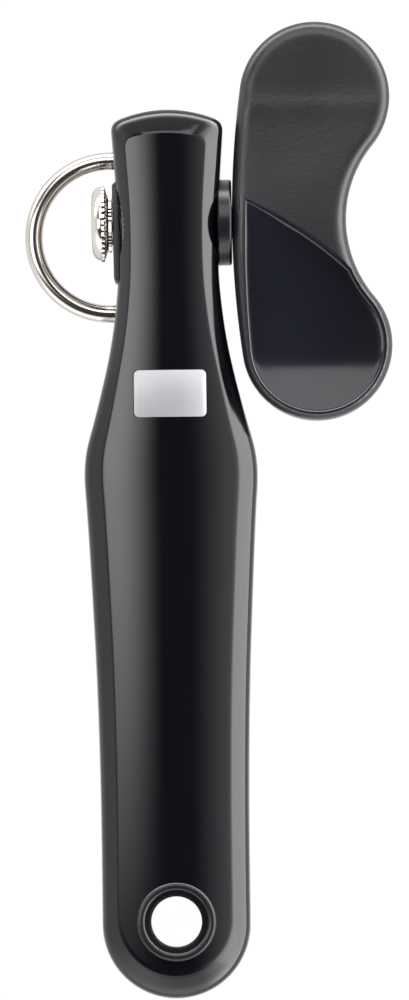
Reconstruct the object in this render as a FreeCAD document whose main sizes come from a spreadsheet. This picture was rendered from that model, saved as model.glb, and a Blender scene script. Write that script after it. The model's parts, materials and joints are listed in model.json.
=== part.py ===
import FreeCAD, Part
import os
import re
import Sketcher
from FreeCAD import Placement, Rotation, Vector

# One-hand can opener, lying on its back.  +Y runs up the handle to the head,
# +X points to the turning knob, +Z points out of the front face.
# Every piece is drawn in a tool frame whose Y = 0, X = 0 line is where the spindle
# axis crosses the handle's middle plane and whose Z = 0 plane is the handle's back.
# The published pieces are then moved so that the origin is under the middle of
# the whole opener's box.

DRIVING_SIZES = [
    # handle moulding: lengths from the spindle axis, half widths, depths
    ("head_rise", 24.5, "spindle axis to the top of the head"),
    ("head_corner_rise", 20.4, "where the head's corner round meets the side"),
    ("head_corner_in", 2.3, "width of the head's corner round"),
    ("head_crown", 1.6, "rise of the head's top edge above its corners"),
    ("head_half", 11.9, "half width at the head"),
    ("neck_half", 10.7, "half width at the waist of the neck"),
    ("flare_drop", 31.4, "axis to the start of the flare"),
    ("flare_half", 13.5, "half width at the start of the flare"),
    ("shoulder_drop", 46.2, "axis to the end of the flare"),
    ("shoulder_start_half", 17.4, "half width at the end of the flare"),
    ("grip_drop", 60.7, "axis to the start of the grip"),
    ("grip_start_half", 18.2, "half width at the start of the grip"),
    ("shoulder_bulge", 0.7, "bulge of the shoulder's round"),
    ("corner_bulge", 0.7, "bulge of the head's corners"),
    ("grip_hollow", 0.7, "hollow of the grip's long side"),
    ("tail_drop", 166.5, "axis to the end of the handle"),
    ("tail_half", 15.8, "half width and end radius of the tail"),
    ("head_depth", 33.0, "front to back at the top of the head"),
    ("front_fall", 3.3, "slope of the front face towards the tail, degrees"),
    ("crown_radius", 38.0, "crosswise radius of the front face"),
    ("back_round", 1.5, "round between back face and side"),
    ("wall", 2.2, "moulding wall"),
    ("split_height", 8.5, "parting plane above the back face"),
    ("rib", 1.6, "rib thickness"),
    # hanging eye
    ("eye_drop", 150.3, "axis to the hanging hole"),
    ("eye_radius", 5.45, "clear radius of the hanging hole"),
    ("eyelet_wall", 1.25, "wall of the eyelet"),
    ("eyelet_lip_radius", 8.4, "outer radius of the eyelet's lip"),
    ("eyelet_lip", 1.3, "thickness of the eyelet's lip"),
    ("eyelet_recess", 0.5, "eyelet's back end above the back face"),
    # badge
    ("badge_drop", 36.8, "axis to the middle of the badge"),
    ("badge_wide", 15.9, "badge recess width"),
    ("badge_tall", 10.4, "badge recess height"),
    ("badge_corner", 1.1, "corner radius of the badge"),
    ("badge_thick", 0.7, "badge thickness"),
    # housing screws
    ("screw_first_drop", 34.0, "axis to the first housing screw"),
    ("screw_step", 50.0, "distance between housing screws"),
    ("screw_radius", 1.5, "housing screw shank radius"),
    ("screw_head_radius", 2.9, "housing screw head radius"),
    ("screw_head", 1.9, "housing screw head height"),
    ("screw_seat", 4.0, "screw head seat above the back face"),
    ("screw_length", 14.0, "housing screw length under its head"),
    ("boss_wall", 1.9, "wall of a screw boss"),
    # spindle, eccentric and their bearing
    ("axis_height", 21.0, "spindle axis above the back face, opener open"),
    ("throw", 1.5, "offset of the spindle axis from the eccentric's axis"),
    ("spindle_radius", 3.5, "spindle journal"),
    ("seat_radius", 2.5, "spindle seat inside the feed wheel"),
    ("square", 4.8, "spindle's square end, across flats"),
    ("eccentric_radius", 6.0, "eccentric bush outside radius"),
    ("sleeve_wall", 1.0, "wall of the fixed bearing sleeve"),
    ("collar_radius", 9.25, "eccentric's collar"),
    ("collar_start", 10.65, "collar's handle-side face"),
    ("collar_end", 13.5, "collar's knob-side face"),
    ("closing_turn", 90.0, "turn of the eccentric from open to closed, degrees"),
    ("stop_angle", 45.0, "stop pin from straight above the eccentric's axis, in degrees"),
    ("stop_pin_radius", 0.8, "stop pin"),
    ("stop_pin_reach", 8.5, "stop pin from the eccentric's axis"),
    ("stop_slot_depth", 1.75, "depth of the collar's stop slot"),
    ("frame_sheet", 1.5, "steel thickness of the head frame"),
    ("frame_top", 17.5, "axis to the upper end of the frame"),
    ("frame_drop", 26.5, "axis to the frame's web"),
    ("frame_low", 3.0, "frame's lower edge above the back face"),
    ("frame_high", 27.6, "frame's upper edge above the back face"),
    ("clip_thick", 0.7, "thickness of the clips"),
    ("wave_thick", 0.6, "flattened wave washer"),
    # bearing plate on the left flank
    ("plate_rise", 9.0, "axis to the plate's upper end"),
    ("plate_drop", 12.8, "axis to the plate's lower end"),
    ("plate_out_upper", 11.95, "plate's outer face at its upper end"),
    ("plate_out_lower", 11.3, "plate's outer face at its lower end"),
    ("plate_corner", 1.3, "cut corners of the plate"),
    ("plate_low", 2.1, "plate's lower side above the back face"),
    ("plate_high", 28.0, "plate's upper side above the back face"),
    # feed wheel, knurled ring, washers
    ("wheel_radius", 8.25, "feed wheel"),
    ("wheel_nose", 16.6, "axis line: top of the feed wheel's dome"),
    ("wheel_dome_edge", 15.2, "edge of the dome"),
    ("wheel_dome_radius", 7.7, "radius of the dome's edge"),
    ("wheel_band_start", 14.9, "outer edge of the toothed band"),
    ("wheel_band_end", 13.8, "inner edge of the toothed band"),
    ("wheel_cone_radius", 5.75, "small end of the wheel's cone"),
    ("wheel_back", 12.9, "back of the feed wheel"),
    ("wheel_teeth", 42, "number of teeth"),
    ("tooth_depth", 0.55, "depth of a tooth gap"),
    ("ring_radius", 6.15, "knurled ring"),
    ("ring_back", 12.05, "back of the knurled ring"),
    ("ring_knurls", 46, "number of knurls"),
    ("knurl_depth", 0.3, "depth of a knurl"),
    ("thrust_thick", 0.6, "thrust washer thickness"),
    ("thrust_radius", 4.6, "thrust washer radius"),
    # cutting wheel
    ("cutter_radius", 4.8, "cutting wheel"),
    ("cutter_bite", 0.8, "gap between feed wheel and cutting wheel, closed"),
    ("cutter_thick", 1.6, "cutting wheel thickness"),
    ("cutter_out", 14.9, "outer face of the cutting wheel"),
    ("dome_bulge", 0.45, "bulge of the feed wheel's dome"),
    ("cutter_edge_in", 0.45, "cutting edge from the wheel's inner face"),
    ("cutter_bevel", 1.7, "radial width of the cutting bevel"),
    ("axle_radius", 2.0, "cutter axle"),
    ("axle_head_radius", 3.2, "cutter axle head"),
    ("axle_head", 0.9, "cutter axle head thickness"),
    ("cutter_washer_radius", 3.5, "cutter washer"),
    # guide bow
    ("wire_radius", 2.0, "bow wire"),
    ("bow_radius", 16.2, "bow bend radius at the wire's middle"),
    ("bow_out", 12.5, "bow bend centre from the handle's middle plane"),
    ("bow_drop", 3.2, "bow bend centre below the spindle axis"),
    ("nut_flats", 7.0, "bow nut across flats"),
    ("nut_thick", 3.2, "bow nut thickness"),
    ("bow_washer_radius", 4.2, "bow washer"),
    ("bow_washer_thick", 0.8, "bow washer thickness"),
    ("bow_tail", 1.4, "wire beyond its nut"),
    # knob
    ("knob_face", 13.75, "knob's handle-side face"),
    ("lobe_out", 31.8, "knob lobe centres from the handle's middle plane"),
    ("lobe_offset", 26.7, "knob lobe centres from the spindle axis"),
    ("lobe_radius", 16.14, "knob lobe radius"),
    ("waist_out", 38.3, "knob's waist from the handle's middle plane"),
    ("knob_half", 9.0, "half thickness of the knob"),
    ("knob_round", 2.6, "round of the knob's edges"),
    ("scoop_rim", 1.45, "rim round the finger scoop"),
    ("scoop_start_out", 17.0, "upper corner of the scoop, from the middle plane"),
    ("scoop_start_rise", 4.7, "upper corner of the scoop, from the spindle axis"),
    ("scoop_end_angle", 10.0, "where ridge and rim meet, degrees about the lobe"),
    ("scoop_ridge_bulge", 4.4, "bulge of the ridge"),
    ("scoop_side_bulge", 1.0, "bulge of the scoop's handle side"),
    ("scoop_floor", 1.8, "lowest point of the scoop above the knob's middle"),
    ("scoop_floor_drop", 22.0, "lowest point of the scoop from the spindle axis"),
    ("scoop_floor_radius", 68.0, "radius of the scoop's floor"),
    ("clip_room", 1.5, "depth of the clip's recess in the knob"),
    ("insert_radius", 4.2, "knob insert"),
    ("insert_start", 15.6, "knob insert's inner end"),
    ("insert_end", 29.5, "knob insert's outer end"),
    ("spindle_end", 28.5, "spindle's knob end"),
    ("knob_screw_radius", 1.5, "knob screw shank"),
    ("knob_screw_head_radius", 2.9, "knob screw head"),
    ("knob_screw_head", 1.8, "knob screw head height"),
    ("knob_screw_seat", 32.0, "knob screw head seat"),
    ("knob_screw_depth", 8.0, "knob screw's hold in the spindle"),
    ("plug_radius", 3.4, "knob plug"),
    ("plug_thick", 2.6, "knob plug thickness"),
    ("plug_sink", 0.3, "plug below the knob's waist"),
    # fits
    ("running_gap", 0.05, "radial clearance of a running fit"),
    ("side_gap", 0.2, "clearance between faces that pass each other"),
    ("free_gap", 0.4, "clearance round a moving piece in a hole"),
    ("seat_gap", 0.05, "clearance of a fixed piece in its seat"),
    ("overrun", 20.0, "length that cutting bodies run past what they cut"),
]

doc = FreeCAD.newDocument("can_opener")
sheet = doc.addObject("Spreadsheet::Sheet", "Sizes")
for line, (alias, size, note) in enumerate(DRIVING_SIZES, start=1):
    sheet.set("A%d" % line, note)
    sheet.set("B%d" % line, str(size))
    sheet.setAlias("B%d" % line, alias)
doc.recompute()

ALIASES = {alias for alias, size, note in DRIVING_SIZES}
WORD = re.compile(r"\b[a-z][a-z_]*\b")
published = []


# ---------------------------------------------------------------- expressions

def cells(text):
    """Point each size name in an expression at its spreadsheet cell."""
    return WORD.sub(lambda found: "Sizes." + found.group() if found.group() in ALIASES
                    else found.group(), text)


def number(text):
    """Value that an expression has now."""
    result = sheet.evalExpression(cells(text))
    return float(getattr(result, "Value", result))


def tie(thing, path, text):
    """Bind one property of an object to an expression of the sizes."""
    thing.setExpression(path, cells(text))


def place(thing, spot, turn=None):
    """Set an object's turn, and bind its position."""
    thing.Placement = Placement(Vector(), turn or Rotation())
    for letter, text in zip("xyz", spot):
        tie(thing, ".Placement.Base." + letter, text)


# ---------------------------------------------------------------- primitives

ALONG_X = Rotation(Vector(0, 1, 0), 90)
ALONG_Y = Rotation(Vector(1, 0, 0), -90)
X_TO_Z = Rotation(Vector(0, 1, 0), -90)


def block(name, low, size):
    """Box from its low corner and its three sizes."""
    thing = doc.addObject("Part::Box", name)
    for prop, text in zip(("Length", "Width", "Height"), size):
        tie(thing, prop, text)
    place(thing, low)
    return thing


def rod(name, start, length, radius, turn=ALONG_X):
    """Round bar from the middle of its first end."""
    thing = doc.addObject("Part::Cylinder", name)
    tie(thing, "Height", length)
    tie(thing, "Radius", radius)
    place(thing, start, turn)
    return thing


def upright(name, start, length, radius):
    """Round bar along +Z."""
    return rod(name, start, length, radius, Rotation())


def fuse(name, *things):
    joined = doc.addObject("Part::MultiFuse", name)
    joined.Shapes = list(things)
    return joined


def cut(name, base, *tools):
    tool = tools[0] if len(tools) == 1 else fuse(name + "_cuts", *tools)
    result = doc.addObject("Part::Cut", name)
    result.Base = base
    result.Tool = tool
    return result


def common(name, *things):
    shared = doc.addObject("Part::MultiCommon", name)
    shared.Shapes = list(things)
    return shared


def group(name, *things):
    gathered = doc.addObject("Part::Compound", name)
    gathered.Links = list(things)
    return gathered


# ---------------------------------------------------------------- sketches

def plane_of(body, role):
    """One of a body's own origin planes or axes."""
    return next(item for item in body.Origin.OriginFeatures if item.Role == role)


def arc_radius(first, last, bulge):
    """Radius of an arc from its two ends and its bulge, as an expression."""
    across = "((%s) - (%s))^2 + ((%s) - (%s))^2" % (last[0], first[0], last[1], first[1])
    return "((%s) / 4 + (%s)^2) / (2 * (%s))" % (across, bulge, bulge)


def outline(body, name, role, corners, bulges):
    """Closed sketch.  bulges maps a side's index to (size, hand), where hand is +1 when
    the arc bulges to the right of the way from its corner to the next one.  A half
    circle adds the height of its centre, because its radius alone can't hold it."""
    sketch = body.newObject("Sketcher::SketchObject", name)
    sketch.AttachmentSupport = [(plane_of(body, role), "")]
    sketch.MapMode = "FlatFace"
    spots = [Vector(number(across), number(up), 0) for across, up in corners]
    ends = []
    count = len(corners)
    for side in range(count):
        first = spots[side]
        last = spots[(side + 1) % count]
        if side not in bulges:
            sketch.addGeometry(Part.LineSegment(first, last), False)
            ends.append((1, 2))
            continue
        size, hand = bulges[side][:2]
        way = (last - first).normalize()
        top = (first + last) * 0.5 + Vector(way.y, -way.x, 0) * hand * number(size)
        if hand > 0:
            sketch.addGeometry(Part.Arc(first, top, last), False)
            ends.append((1, 2))
        else:
            sketch.addGeometry(Part.Arc(last, top, first), False)
            ends.append((2, 1))
    for side in range(count):
        after = (side + 1) % count
        sketch.addConstraint(Sketcher.Constraint("Coincident", side, ends[side][1], after, ends[after][0]))
    for side, texts in enumerate(corners):
        for kind, text in zip(("DistanceX", "DistanceY"), texts):
            rule = Sketcher.Constraint(kind, -1, 1, side, ends[side][0], number(text))
            tie(sketch, "Constraints[%d]" % sketch.addConstraint(rule), text)
    for side, (size, hand, *centre_up) in bulges.items():
        if centre_up:
            text = centre_up[0]
            rule = Sketcher.Constraint("DistanceY", -1, 1, side, 3, number(text))
        else:
            text = arc_radius(corners[side], corners[(side + 1) % count], size)
            rule = Sketcher.Constraint("Radius", side, number(text))
        tie(sketch, "Constraints[%d]" % sketch.addConstraint(rule), text)
    return sketch


def padded(name, role, corners, bulges, start, length):
    """Body made by padding an outline.  start moves the whole body along the pad."""
    body = doc.addObject("PartDesign::Body", name)
    sketch = outline(body, name + "_outline", role, corners, bulges)
    pad = body.newObject("PartDesign::Pad", name + "_pad")
    pad.Profile = sketch
    tie(pad, "Length", length)
    sketch.Visibility = False
    axis = {"XY_Plane": 2, "YZ_Plane": 0}[role]
    spot = ["0", "0", "0"]
    spot[axis] = start
    place(body, spot)
    return body


def turned(name, profile, bulges=None):
    """Body of revolution about the X axis from (along, radius) corners."""
    body = doc.addObject("PartDesign::Body", name)
    sketch = outline(body, name + "_profile", "XZ_Plane", profile, bulges or {})
    spin = body.newObject("PartDesign::Revolution", name + "_turning")
    spin.Profile = sketch
    spin.ReferenceAxis = (sketch, ["H_Axis"])
    spin.Angle = 360
    sketch.Visibility = False
    return body


def ring(name, start, end, inner, outer):
    """Plain washer or tube about the X axis."""
    return turned(name, [(start, inner), (start, outer), (end, outer), (end, inner)])


def notched(body, name, start, length, radius, depth, count_alias):
    """V notches all round a turned body's rim, made once and repeated."""
    half = "(%s) * tan(180 deg / %s)" % (radius, count_alias)
    sketch = outline(
        body, name + "_notch", "YZ_Plane",
        [("0", "(%s) - (%s)" % (radius, depth)), (half, "(%s) + (%s)" % (radius, depth)),
         ("-(%s)" % half, "(%s) + (%s)" % (radius, depth))],
        {})
    sketch.AttachmentOffset = Placement(Vector(), Rotation())
    tie(sketch, ".AttachmentOffset.Base.z", start)
    doc.recompute()
    before = body.Tip.Shape.Volume
    pocket = body.newObject("PartDesign::Pocket", name + "_notch_cut")
    pocket.Profile = sketch
    pocket.Reversed = True
    tie(pocket, "Length", length)
    sketch.Visibility = False
    pattern = body.newObject("PartDesign::PolarPattern", name + "_notches")
    pattern.Originals = [pocket]
    pattern.Axis = (plane_of(body, "X_Axis"), [""])
    pattern.Angle = 360
    tie(pattern, "Occurrences", count_alias)
    body.Tip = pattern
    doc.recompute()
    if pattern.Shape.Volume >= before:
        raise RuntimeError(name + ": the notches cut nothing")
    return body


# ---------------------------------------------------------------- publishing

MIDDLE_X = "((lobe_out + lobe_radius) - (bow_out + bow_radius + wire_radius)) / 2"
MIDDLE_Y = "((lobe_offset + lobe_radius) - tail_drop) / 2"


def publish(thing, label, spot=("0", "0", "0"), turn=None):
    """Name a finished piece and move it from the tool frame to the opener's own."""
    thing.Label = label
    place(thing, ("(%s) - %s" % (spot[0], MIDDLE_X), "(%s) - %s" % (spot[1], MIDDLE_Y), spot[2]), turn)
    published.append(thing)
    return thing


ON_SPINDLE = ("0", "0", "axis_height")
ECCENTRIC_HEIGHT = "axis_height - throw"
CUTTER_RISE = "throw"
CUTTER_HEIGHT = "(axis_height - throw) - wheel_radius - cutter_bite - cutter_radius"
ON_ECCENTRIC = ("0", "0", ECCENTRIC_HEIGHT)
ON_CUTTER = ("0", CUTTER_RISE, CUTTER_HEIGHT)
FRAME_HALF = "neck_half - wall - side_gap"


# ---------------------------------------------------------------- handle form

def handle_corners(inset):
    """Corners of the handle's outline, drawn inwards by inset, from the head's right
    corner down the right side and back up the left, and the bulges of its sides."""
    top = "head_rise - head_crown - (%s)" % inset
    right = [
        ("head_half - head_corner_in - (%s)" % inset, top),
        ("head_half - (%s)" % inset, "head_corner_rise - (%s)" % inset),
        ("flare_half - (%s)" % inset, "-flare_drop"),
        ("shoulder_start_half - (%s)" % inset, "-shoulder_drop"),
        ("grip_start_half - (%s)" % inset, "-grip_drop"),
        ("tail_half - (%s)" % inset, "tail_half - tail_drop"),
    ]
    left = [("-(%s)" % across, up) for across, up in reversed(right)]
    neck_hollow = "(head_half + flare_half) / 2 - neck_half"
    bulges = {
        0: ("corner_bulge", -1), 1: (neck_hollow, 1), 3: ("shoulder_bulge", -1), 4: ("grip_hollow", 1),
        5: ("tail_half - (%s)" % inset, -1, "tail_half - tail_drop"),
        6: ("grip_hollow", 1), 7: ("shoulder_bulge", -1), 9: (neck_hollow, 1), 10: ("corner_bulge", -1),
        11: ("head_crown", -1),
    }
    return right + left, bulges


def crown(name, inset):
    """Long tilted round bar whose upper side is the handle's crowned front."""
    bar = doc.addObject("Part::Cylinder", name)
    tie(bar, "Height", "head_rise + tail_drop + 2 * overrun")
    tie(bar, "Radius", "crown_radius - (%s)" % inset)
    place(bar, ("0", "head_rise + overrun",
                "head_depth - crown_radius + overrun * tan(front_fall * 1 deg)"),
          Rotation(Vector(1, 0, 0), 90 + number("front_fall")))
    tie(bar, ".Placement.Rotation.Angle", "(90 + front_fall) * 1 deg")
    return bar


def rounded(name, form, choose, radius):
    """Round the chosen edges of a form."""
    doc.recompute()
    picked = [(index, radius, radius) for index, edge in enumerate(form.Shape.Edges,
                                                                   start=1) if choose(edge)]
    result = doc.addObject("Part::Fillet", name)
    result.Base = form
    result.Edges = picked
    doc.recompute()
    return result


def handle_form(name, inset, low):
    """Handle outline under the crowned front, from a height upwards."""
    corners, bulges = handle_corners(inset)
    prism = padded(name + "_prism", "XY_Plane", corners, bulges, low, "head_depth + overrun")
    return common(name, prism, crown(name + "_crown", inset))


def low_edge(edge):
    """True for the edges round the flat back."""
    return edge.BoundBox.ZMax < 0.001


BACK_FACE = "0"
outer_form = handle_form("handle_outer", "0", BACK_FACE)
outer_form = rounded("handle_back_rounded", outer_form, low_edge, number("back_round"))


def slab(name, low, high):
    """Block that holds the whole handle between two heights."""
    return block(name, ("-shoulder_start_half - overrun", "-tail_drop - overrun", low),
                 ("2 * (shoulder_start_half + overrun)", "head_rise + tail_drop + 2 * overrun",
                  "(%s) - (%s)" % (high, low)))


# ---------------------------------------------------------------- shells

SCREWS = range(3)
EYE = ("0", "-eye_drop")
TOP = "head_depth + overrun"


def screw_spot(index):
    return ("0", "-(screw_first_drop + %d * screw_step)" % index)


def shell_blank(name, low, high, cavity_low, cavity_high):
    """Slice of the handle form with its cavity, ribs and round bosses."""
    slice_form = common(name + "_slice", outer_form, slab(name + "_slab", low, high))
    cavity = common(name + "_cavity", handle_form(name + "_inner", "wall", cavity_low),
                    slab(name + "_cavity_slab", cavity_low, cavity_high))
    tub = cut(name + "_tub", slice_form, cavity)
    bosses = [upright(name + "_eye_boss", EYE + (low,), "(%s) - (%s)" % (high, low),
                      "eye_radius + eyelet_wall + boss_wall")]
    for index in SCREWS:
        bosses.append(upright("%s_boss_%d" % (name, index), screw_spot(index) + (low,),
                              "(%s) - (%s)" % (high, low), "screw_head_radius + boss_wall"))
    return tub, bosses


def bow_holes(name):
    """Holes for the bow's two legs through the left wall."""
    reach = "bow_out + bow_radius"
    return [rod("%s_bow_hole_%s" % (name, end), ("-(%s)" % reach, rise, "split_height"),
                reach, "wire_radius + seat_gap")
            for end, rise in (("upper", "bow_radius - bow_drop"), ("lower", "-bow_radius - bow_drop"))]


def plate_window(name):
    """Window in the left wall for the bearing plate."""
    return block(name + "_window", ("-neck_half - overrun", "-plate_drop - side_gap",
                                    "plate_low - side_gap"),
                 ("overrun + neck_half - (%s)" % FRAME_HALF, "plate_rise + plate_drop + 2 * side_gap",
                  "plate_high - plate_low + 2 * side_gap"))


front_tub, front_bosses = shell_blank("front_shell", "split_height", TOP, "split_height", "head_depth")
cross_ribs = [
    block("front_rib_%d" % index, ("-shoulder_start_half", low, "split_height"),
          ("2 * shoulder_start_half", "rib", TOP))
    for index, low in enumerate(("frame_top", "-frame_drop - rib", "-screw_first_drop - screw_step / 2",
                                 "-screw_first_drop - 3 * screw_step / 2"))]
front_inside = common("front_shell_inside", fuse("front_shell_ribs", *front_bosses, *cross_ribs),
                      outer_form)
front_whole = fuse("front_shell_whole", front_tub, front_inside)

EYELET_LIP_LOW = "head_depth - (head_rise + eye_drop) * tan(front_fall * 1 deg) - 1"
front_tools = [
    upright("front_eye_bore", EYE + (BACK_FACE,), TOP, "eye_radius + eyelet_wall + seat_gap"),
    upright("front_eye_seat", EYE + (EYELET_LIP_LOW,), TOP, "eyelet_lip_radius + seat_gap"),
    plate_window("front_shell"),
    rod("front_eccentric_bore", ("0", "0", ECCENTRIC_HEIGHT), "neck_half + overrun",
        "eccentric_radius + free_gap"),
    rod("front_collar_seat", ("collar_start - side_gap", "0", ECCENTRIC_HEIGHT), "overrun",
        "collar_radius + throw + side_gap"),
    rod("front_stop_hole", ("0", "stop_pin_reach * sin(stop_angle * 1 deg)", ECCENTRIC_HEIGHT
                            + " + stop_pin_reach * cos(stop_angle * 1 deg)"), "collar_start",
                            "stop_pin_radius + side_gap"),
]
for index in SCREWS:
    front_tools.append(upright("front_screw_hole_%d" % index, screw_spot(index) + ("0",),
                               "screw_seat + screw_length + seat_gap", "screw_radius"))
front_tools += bow_holes("front_shell")


def badge_prism(name, inset):
    """Upright prism of the badge's outline."""
    half_wide = "badge_wide / 2 - (%s)" % inset
    half_tall = "badge_tall / 2 - (%s)" % inset
    turn = "badge_corner - (%s)" % inset
    bulge = "(badge_corner - (%s)) * (1 - sqrt(0.5))" % inset
    near_wide = "(%s) - (%s)" % (half_wide, turn)
    near_tall = "(%s) - (%s)" % (half_tall, turn)
    corners = [
        (near_wide, half_tall), (half_wide, near_tall), (half_wide, "-(%s)" % near_tall),
        (near_wide, "-(%s)" % half_tall), ("-(%s)" % near_wide, "-(%s)" % half_tall),
        ("-(%s)" % half_wide, "-(%s)" % near_tall), ("-(%s)" % half_wide, near_tall),
        ("-(%s)" % near_wide, half_tall),
    ]
    prism = padded(name, "XY_Plane", corners, {side: (bulge, -1) for side in (0, 2, 4, 6)}, "0", TOP)
    tie(prism, ".Placement.Base.y", "-badge_drop")
    return prism


badge_recess = cut("badge_recess", badge_prism("badge_recess_prism", "0"),
                   crown("badge_recess_crown", "badge_thick"))
front_tools.append(badge_recess)
publish(cut("front_shell_cut", front_whole, *front_tools), "front_shell")

back_tub, back_bosses = shell_blank("back_shell", BACK_FACE, "split_height", "wall", "split_height")
back_inside = common("back_shell_inside", fuse("back_shell_bosses", *back_bosses), outer_form)
back_whole = fuse("back_shell_whole", back_tub, back_inside)
back_tools = [upright("back_eye_bore", EYE + ("-overrun",), "overrun + head_depth",
                      "eye_radius + eyelet_wall + seat_gap"), plate_window("back_shell")]
for index in SCREWS:
    back_tools.append(upright("back_screw_hole_%d" % index, screw_spot(index) + ("-overrun",),
                              "overrun + head_depth", "screw_radius + side_gap"))
    back_tools.append(upright("back_screw_seat_%d" % index, screw_spot(index) + ("-overrun",),
                              "overrun + screw_seat", "screw_head_radius + side_gap"))
back_tools += bow_holes("back_shell")
publish(cut("back_shell_cut", back_whole, *back_tools), "back_shell")

badge = common("badge_skin", cut("badge_skin_ring", badge_prism("badge_prism", "seat_gap"),
                                 crown("badge_back_crown", "badge_thick")), crown("badge_front_crown", "0"))
publish(badge, "badge_plate")

EYELET_TOP = "(%s) + eyelet_lip" % EYELET_LIP_LOW
eyelet = turned("eyelet_turned", [
    ("eyelet_recess", "eye_radius"), (EYELET_TOP, "eye_radius"),
    (EYELET_TOP, "eyelet_lip_radius - eyelet_lip / 2"), (EYELET_LIP_LOW + " + eyelet_lip / 2",
                                                         "eyelet_lip_radius"),
    (EYELET_LIP_LOW, "eyelet_lip_radius"), (EYELET_LIP_LOW, "eye_radius + eyelet_wall"),
    ("eyelet_recess", "eye_radius + eyelet_wall")])
publish(eyelet, "hanging_eyelet", EYE + ("0",), X_TO_Z)

SCREW_POINT = "screw_seat + screw_length"
SCREW_TIP = "1.5 * screw_radius"
housing_screws = []
for index in SCREWS:
    screw = turned("housing_screw_%d" % index, [
        ("screw_seat - screw_head", "0"), ("screw_seat - screw_head", "screw_head_radius - screw_head / 3"),
        ("screw_seat - screw_head * 2 / 3", "screw_head_radius"), ("screw_seat", "screw_head_radius"),
        ("screw_seat", "screw_radius"), (SCREW_POINT + " - " + SCREW_TIP, "screw_radius"),
        (SCREW_POINT, "screw_radius / 4"), (SCREW_POINT, "0")])
    drive = block("screw_slot_%d" % index, ("screw_seat - screw_head", "-screw_head_radius",
                                            "-screw_head / 6"),
                  ("screw_head / 2", "2 * screw_head_radius", "screw_head / 3"))
    slotted = cut("housing_screw_slotted_%d" % index, screw, drive)
    place(slotted, screw_spot(index) + ("0",), X_TO_Z)
    housing_screws.append(slotted)
publish(group("housing_screw_group", *housing_screws), "housing_screws")


# ---------------------------------------------------------------- head frame and bearing

def frame_side(name, start):
    """One upright side of the head frame."""
    side = padded(name, "YZ_Plane", [
        ("-frame_drop", "frame_low"), ("frame_top", "frame_low"), ("frame_top",
                                                                   "split_height + 3 * wire_radius"),
        ("sleeve_wall + eccentric_radius + wall", "frame_high"),
        ("-(sleeve_wall + eccentric_radius + wall)", "frame_high"), ("-frame_drop",
                                                                     "split_height + 3 * wire_radius")],
        {}, start, "frame_sheet")
    return side


frame_web = block("frame_web", ("-(%s)" % FRAME_HALF, "-frame_drop", "frame_low"),
                  ("2 * (%s)" % FRAME_HALF, "frame_sheet", "split_height + 3 * wire_radius - frame_low"))
frame_bent = fuse("frame_bent", frame_side("frame_left_side", "-(%s)" % FRAME_HALF),
                  frame_side("frame_right_side", FRAME_HALF + " - frame_sheet"), frame_web)
SLEEVE_OUTSIDE = "eccentric_radius + running_gap + sleeve_wall"
frame_tools = [
    rod("frame_sleeve_hole", ("-overrun", "0", ECCENTRIC_HEIGHT), "2 * overrun", SLEEVE_OUTSIDE),
    rod("frame_axle_hole", ("-overrun", CUTTER_RISE, CUTTER_HEIGHT), "overrun", "axle_radius"),
    rod("frame_stop_hole", ("0", "stop_pin_reach * sin(stop_angle * 1 deg)", ECCENTRIC_HEIGHT
                            + " + stop_pin_reach * cos(stop_angle * 1 deg)"), "overrun", "stop_pin_radius"),
] + bow_holes("frame")
publish(cut("frame_cut", frame_bent, *frame_tools), "head_frame")
publish(ring("sleeve_turned", "-(%s)" % FRAME_HALF, FRAME_HALF, "eccentric_radius + running_gap",
             SLEEVE_OUTSIDE),
        "bearing_sleeve", ON_ECCENTRIC)
publish(turned("stop_pin_turned", [
    (FRAME_HALF + " - frame_sheet", "0"), (FRAME_HALF + " - frame_sheet", "stop_pin_radius"),
    ("collar_start + stop_slot_depth - 2 * side_gap", "stop_pin_radius"),
    ("collar_start + stop_slot_depth - side_gap", "stop_pin_radius - side_gap"),
    ("collar_start + stop_slot_depth - side_gap", "0")]),
    "stop_pin", ("0", "stop_pin_reach * sin(stop_angle * 1 deg)",
                 ECCENTRIC_HEIGHT + " + stop_pin_reach * cos(stop_angle * 1 deg)"))

PLATE_IN = "-(%s) - seat_gap" % FRAME_HALF
COUNTERBORE = "eccentric_radius + free_gap + sleeve_wall + side_gap"
COUNTERBORE_END = "-(%s) - seat_gap - wave_thick - clip_thick - 3 * side_gap" % FRAME_HALF
plate_body = padded("bearing_plate_blank", "XY_Plane", [
    (PLATE_IN, "plate_rise"), (PLATE_IN, "-plate_drop"), ("plate_corner - plate_out_lower", "-plate_drop"),
    ("-plate_out_lower", "plate_corner - plate_drop"), ("-plate_out_upper", "plate_rise - plate_corner"),
    ("plate_corner - plate_out_upper", "plate_rise")], {}, "plate_low", "plate_high - plate_low")
publish(cut("bearing_plate_cut", plate_body,
            rod("plate_bore", ("-overrun", "0", ECCENTRIC_HEIGHT), "overrun",
                "eccentric_radius + free_gap"),
            rod("plate_counterbore", (COUNTERBORE_END, "0", ECCENTRIC_HEIGHT), "overrun", COUNTERBORE),
            rod("plate_axle_hole", ("-overrun", CUTTER_RISE, CUTTER_HEIGHT), "overrun", "axle_radius")),
        "bearing_plate")
WAVE_START = "-(%s) - seat_gap - wave_thick" % FRAME_HALF
publish(ring("wave_washer_flat", WAVE_START, WAVE_START + " + wave_thick",
             "eccentric_radius + side_gap", COUNTERBORE + " - side_gap"), "wave_washer", ON_ECCENTRIC)

# ---------------------------------------------------------------- guide bow

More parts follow.
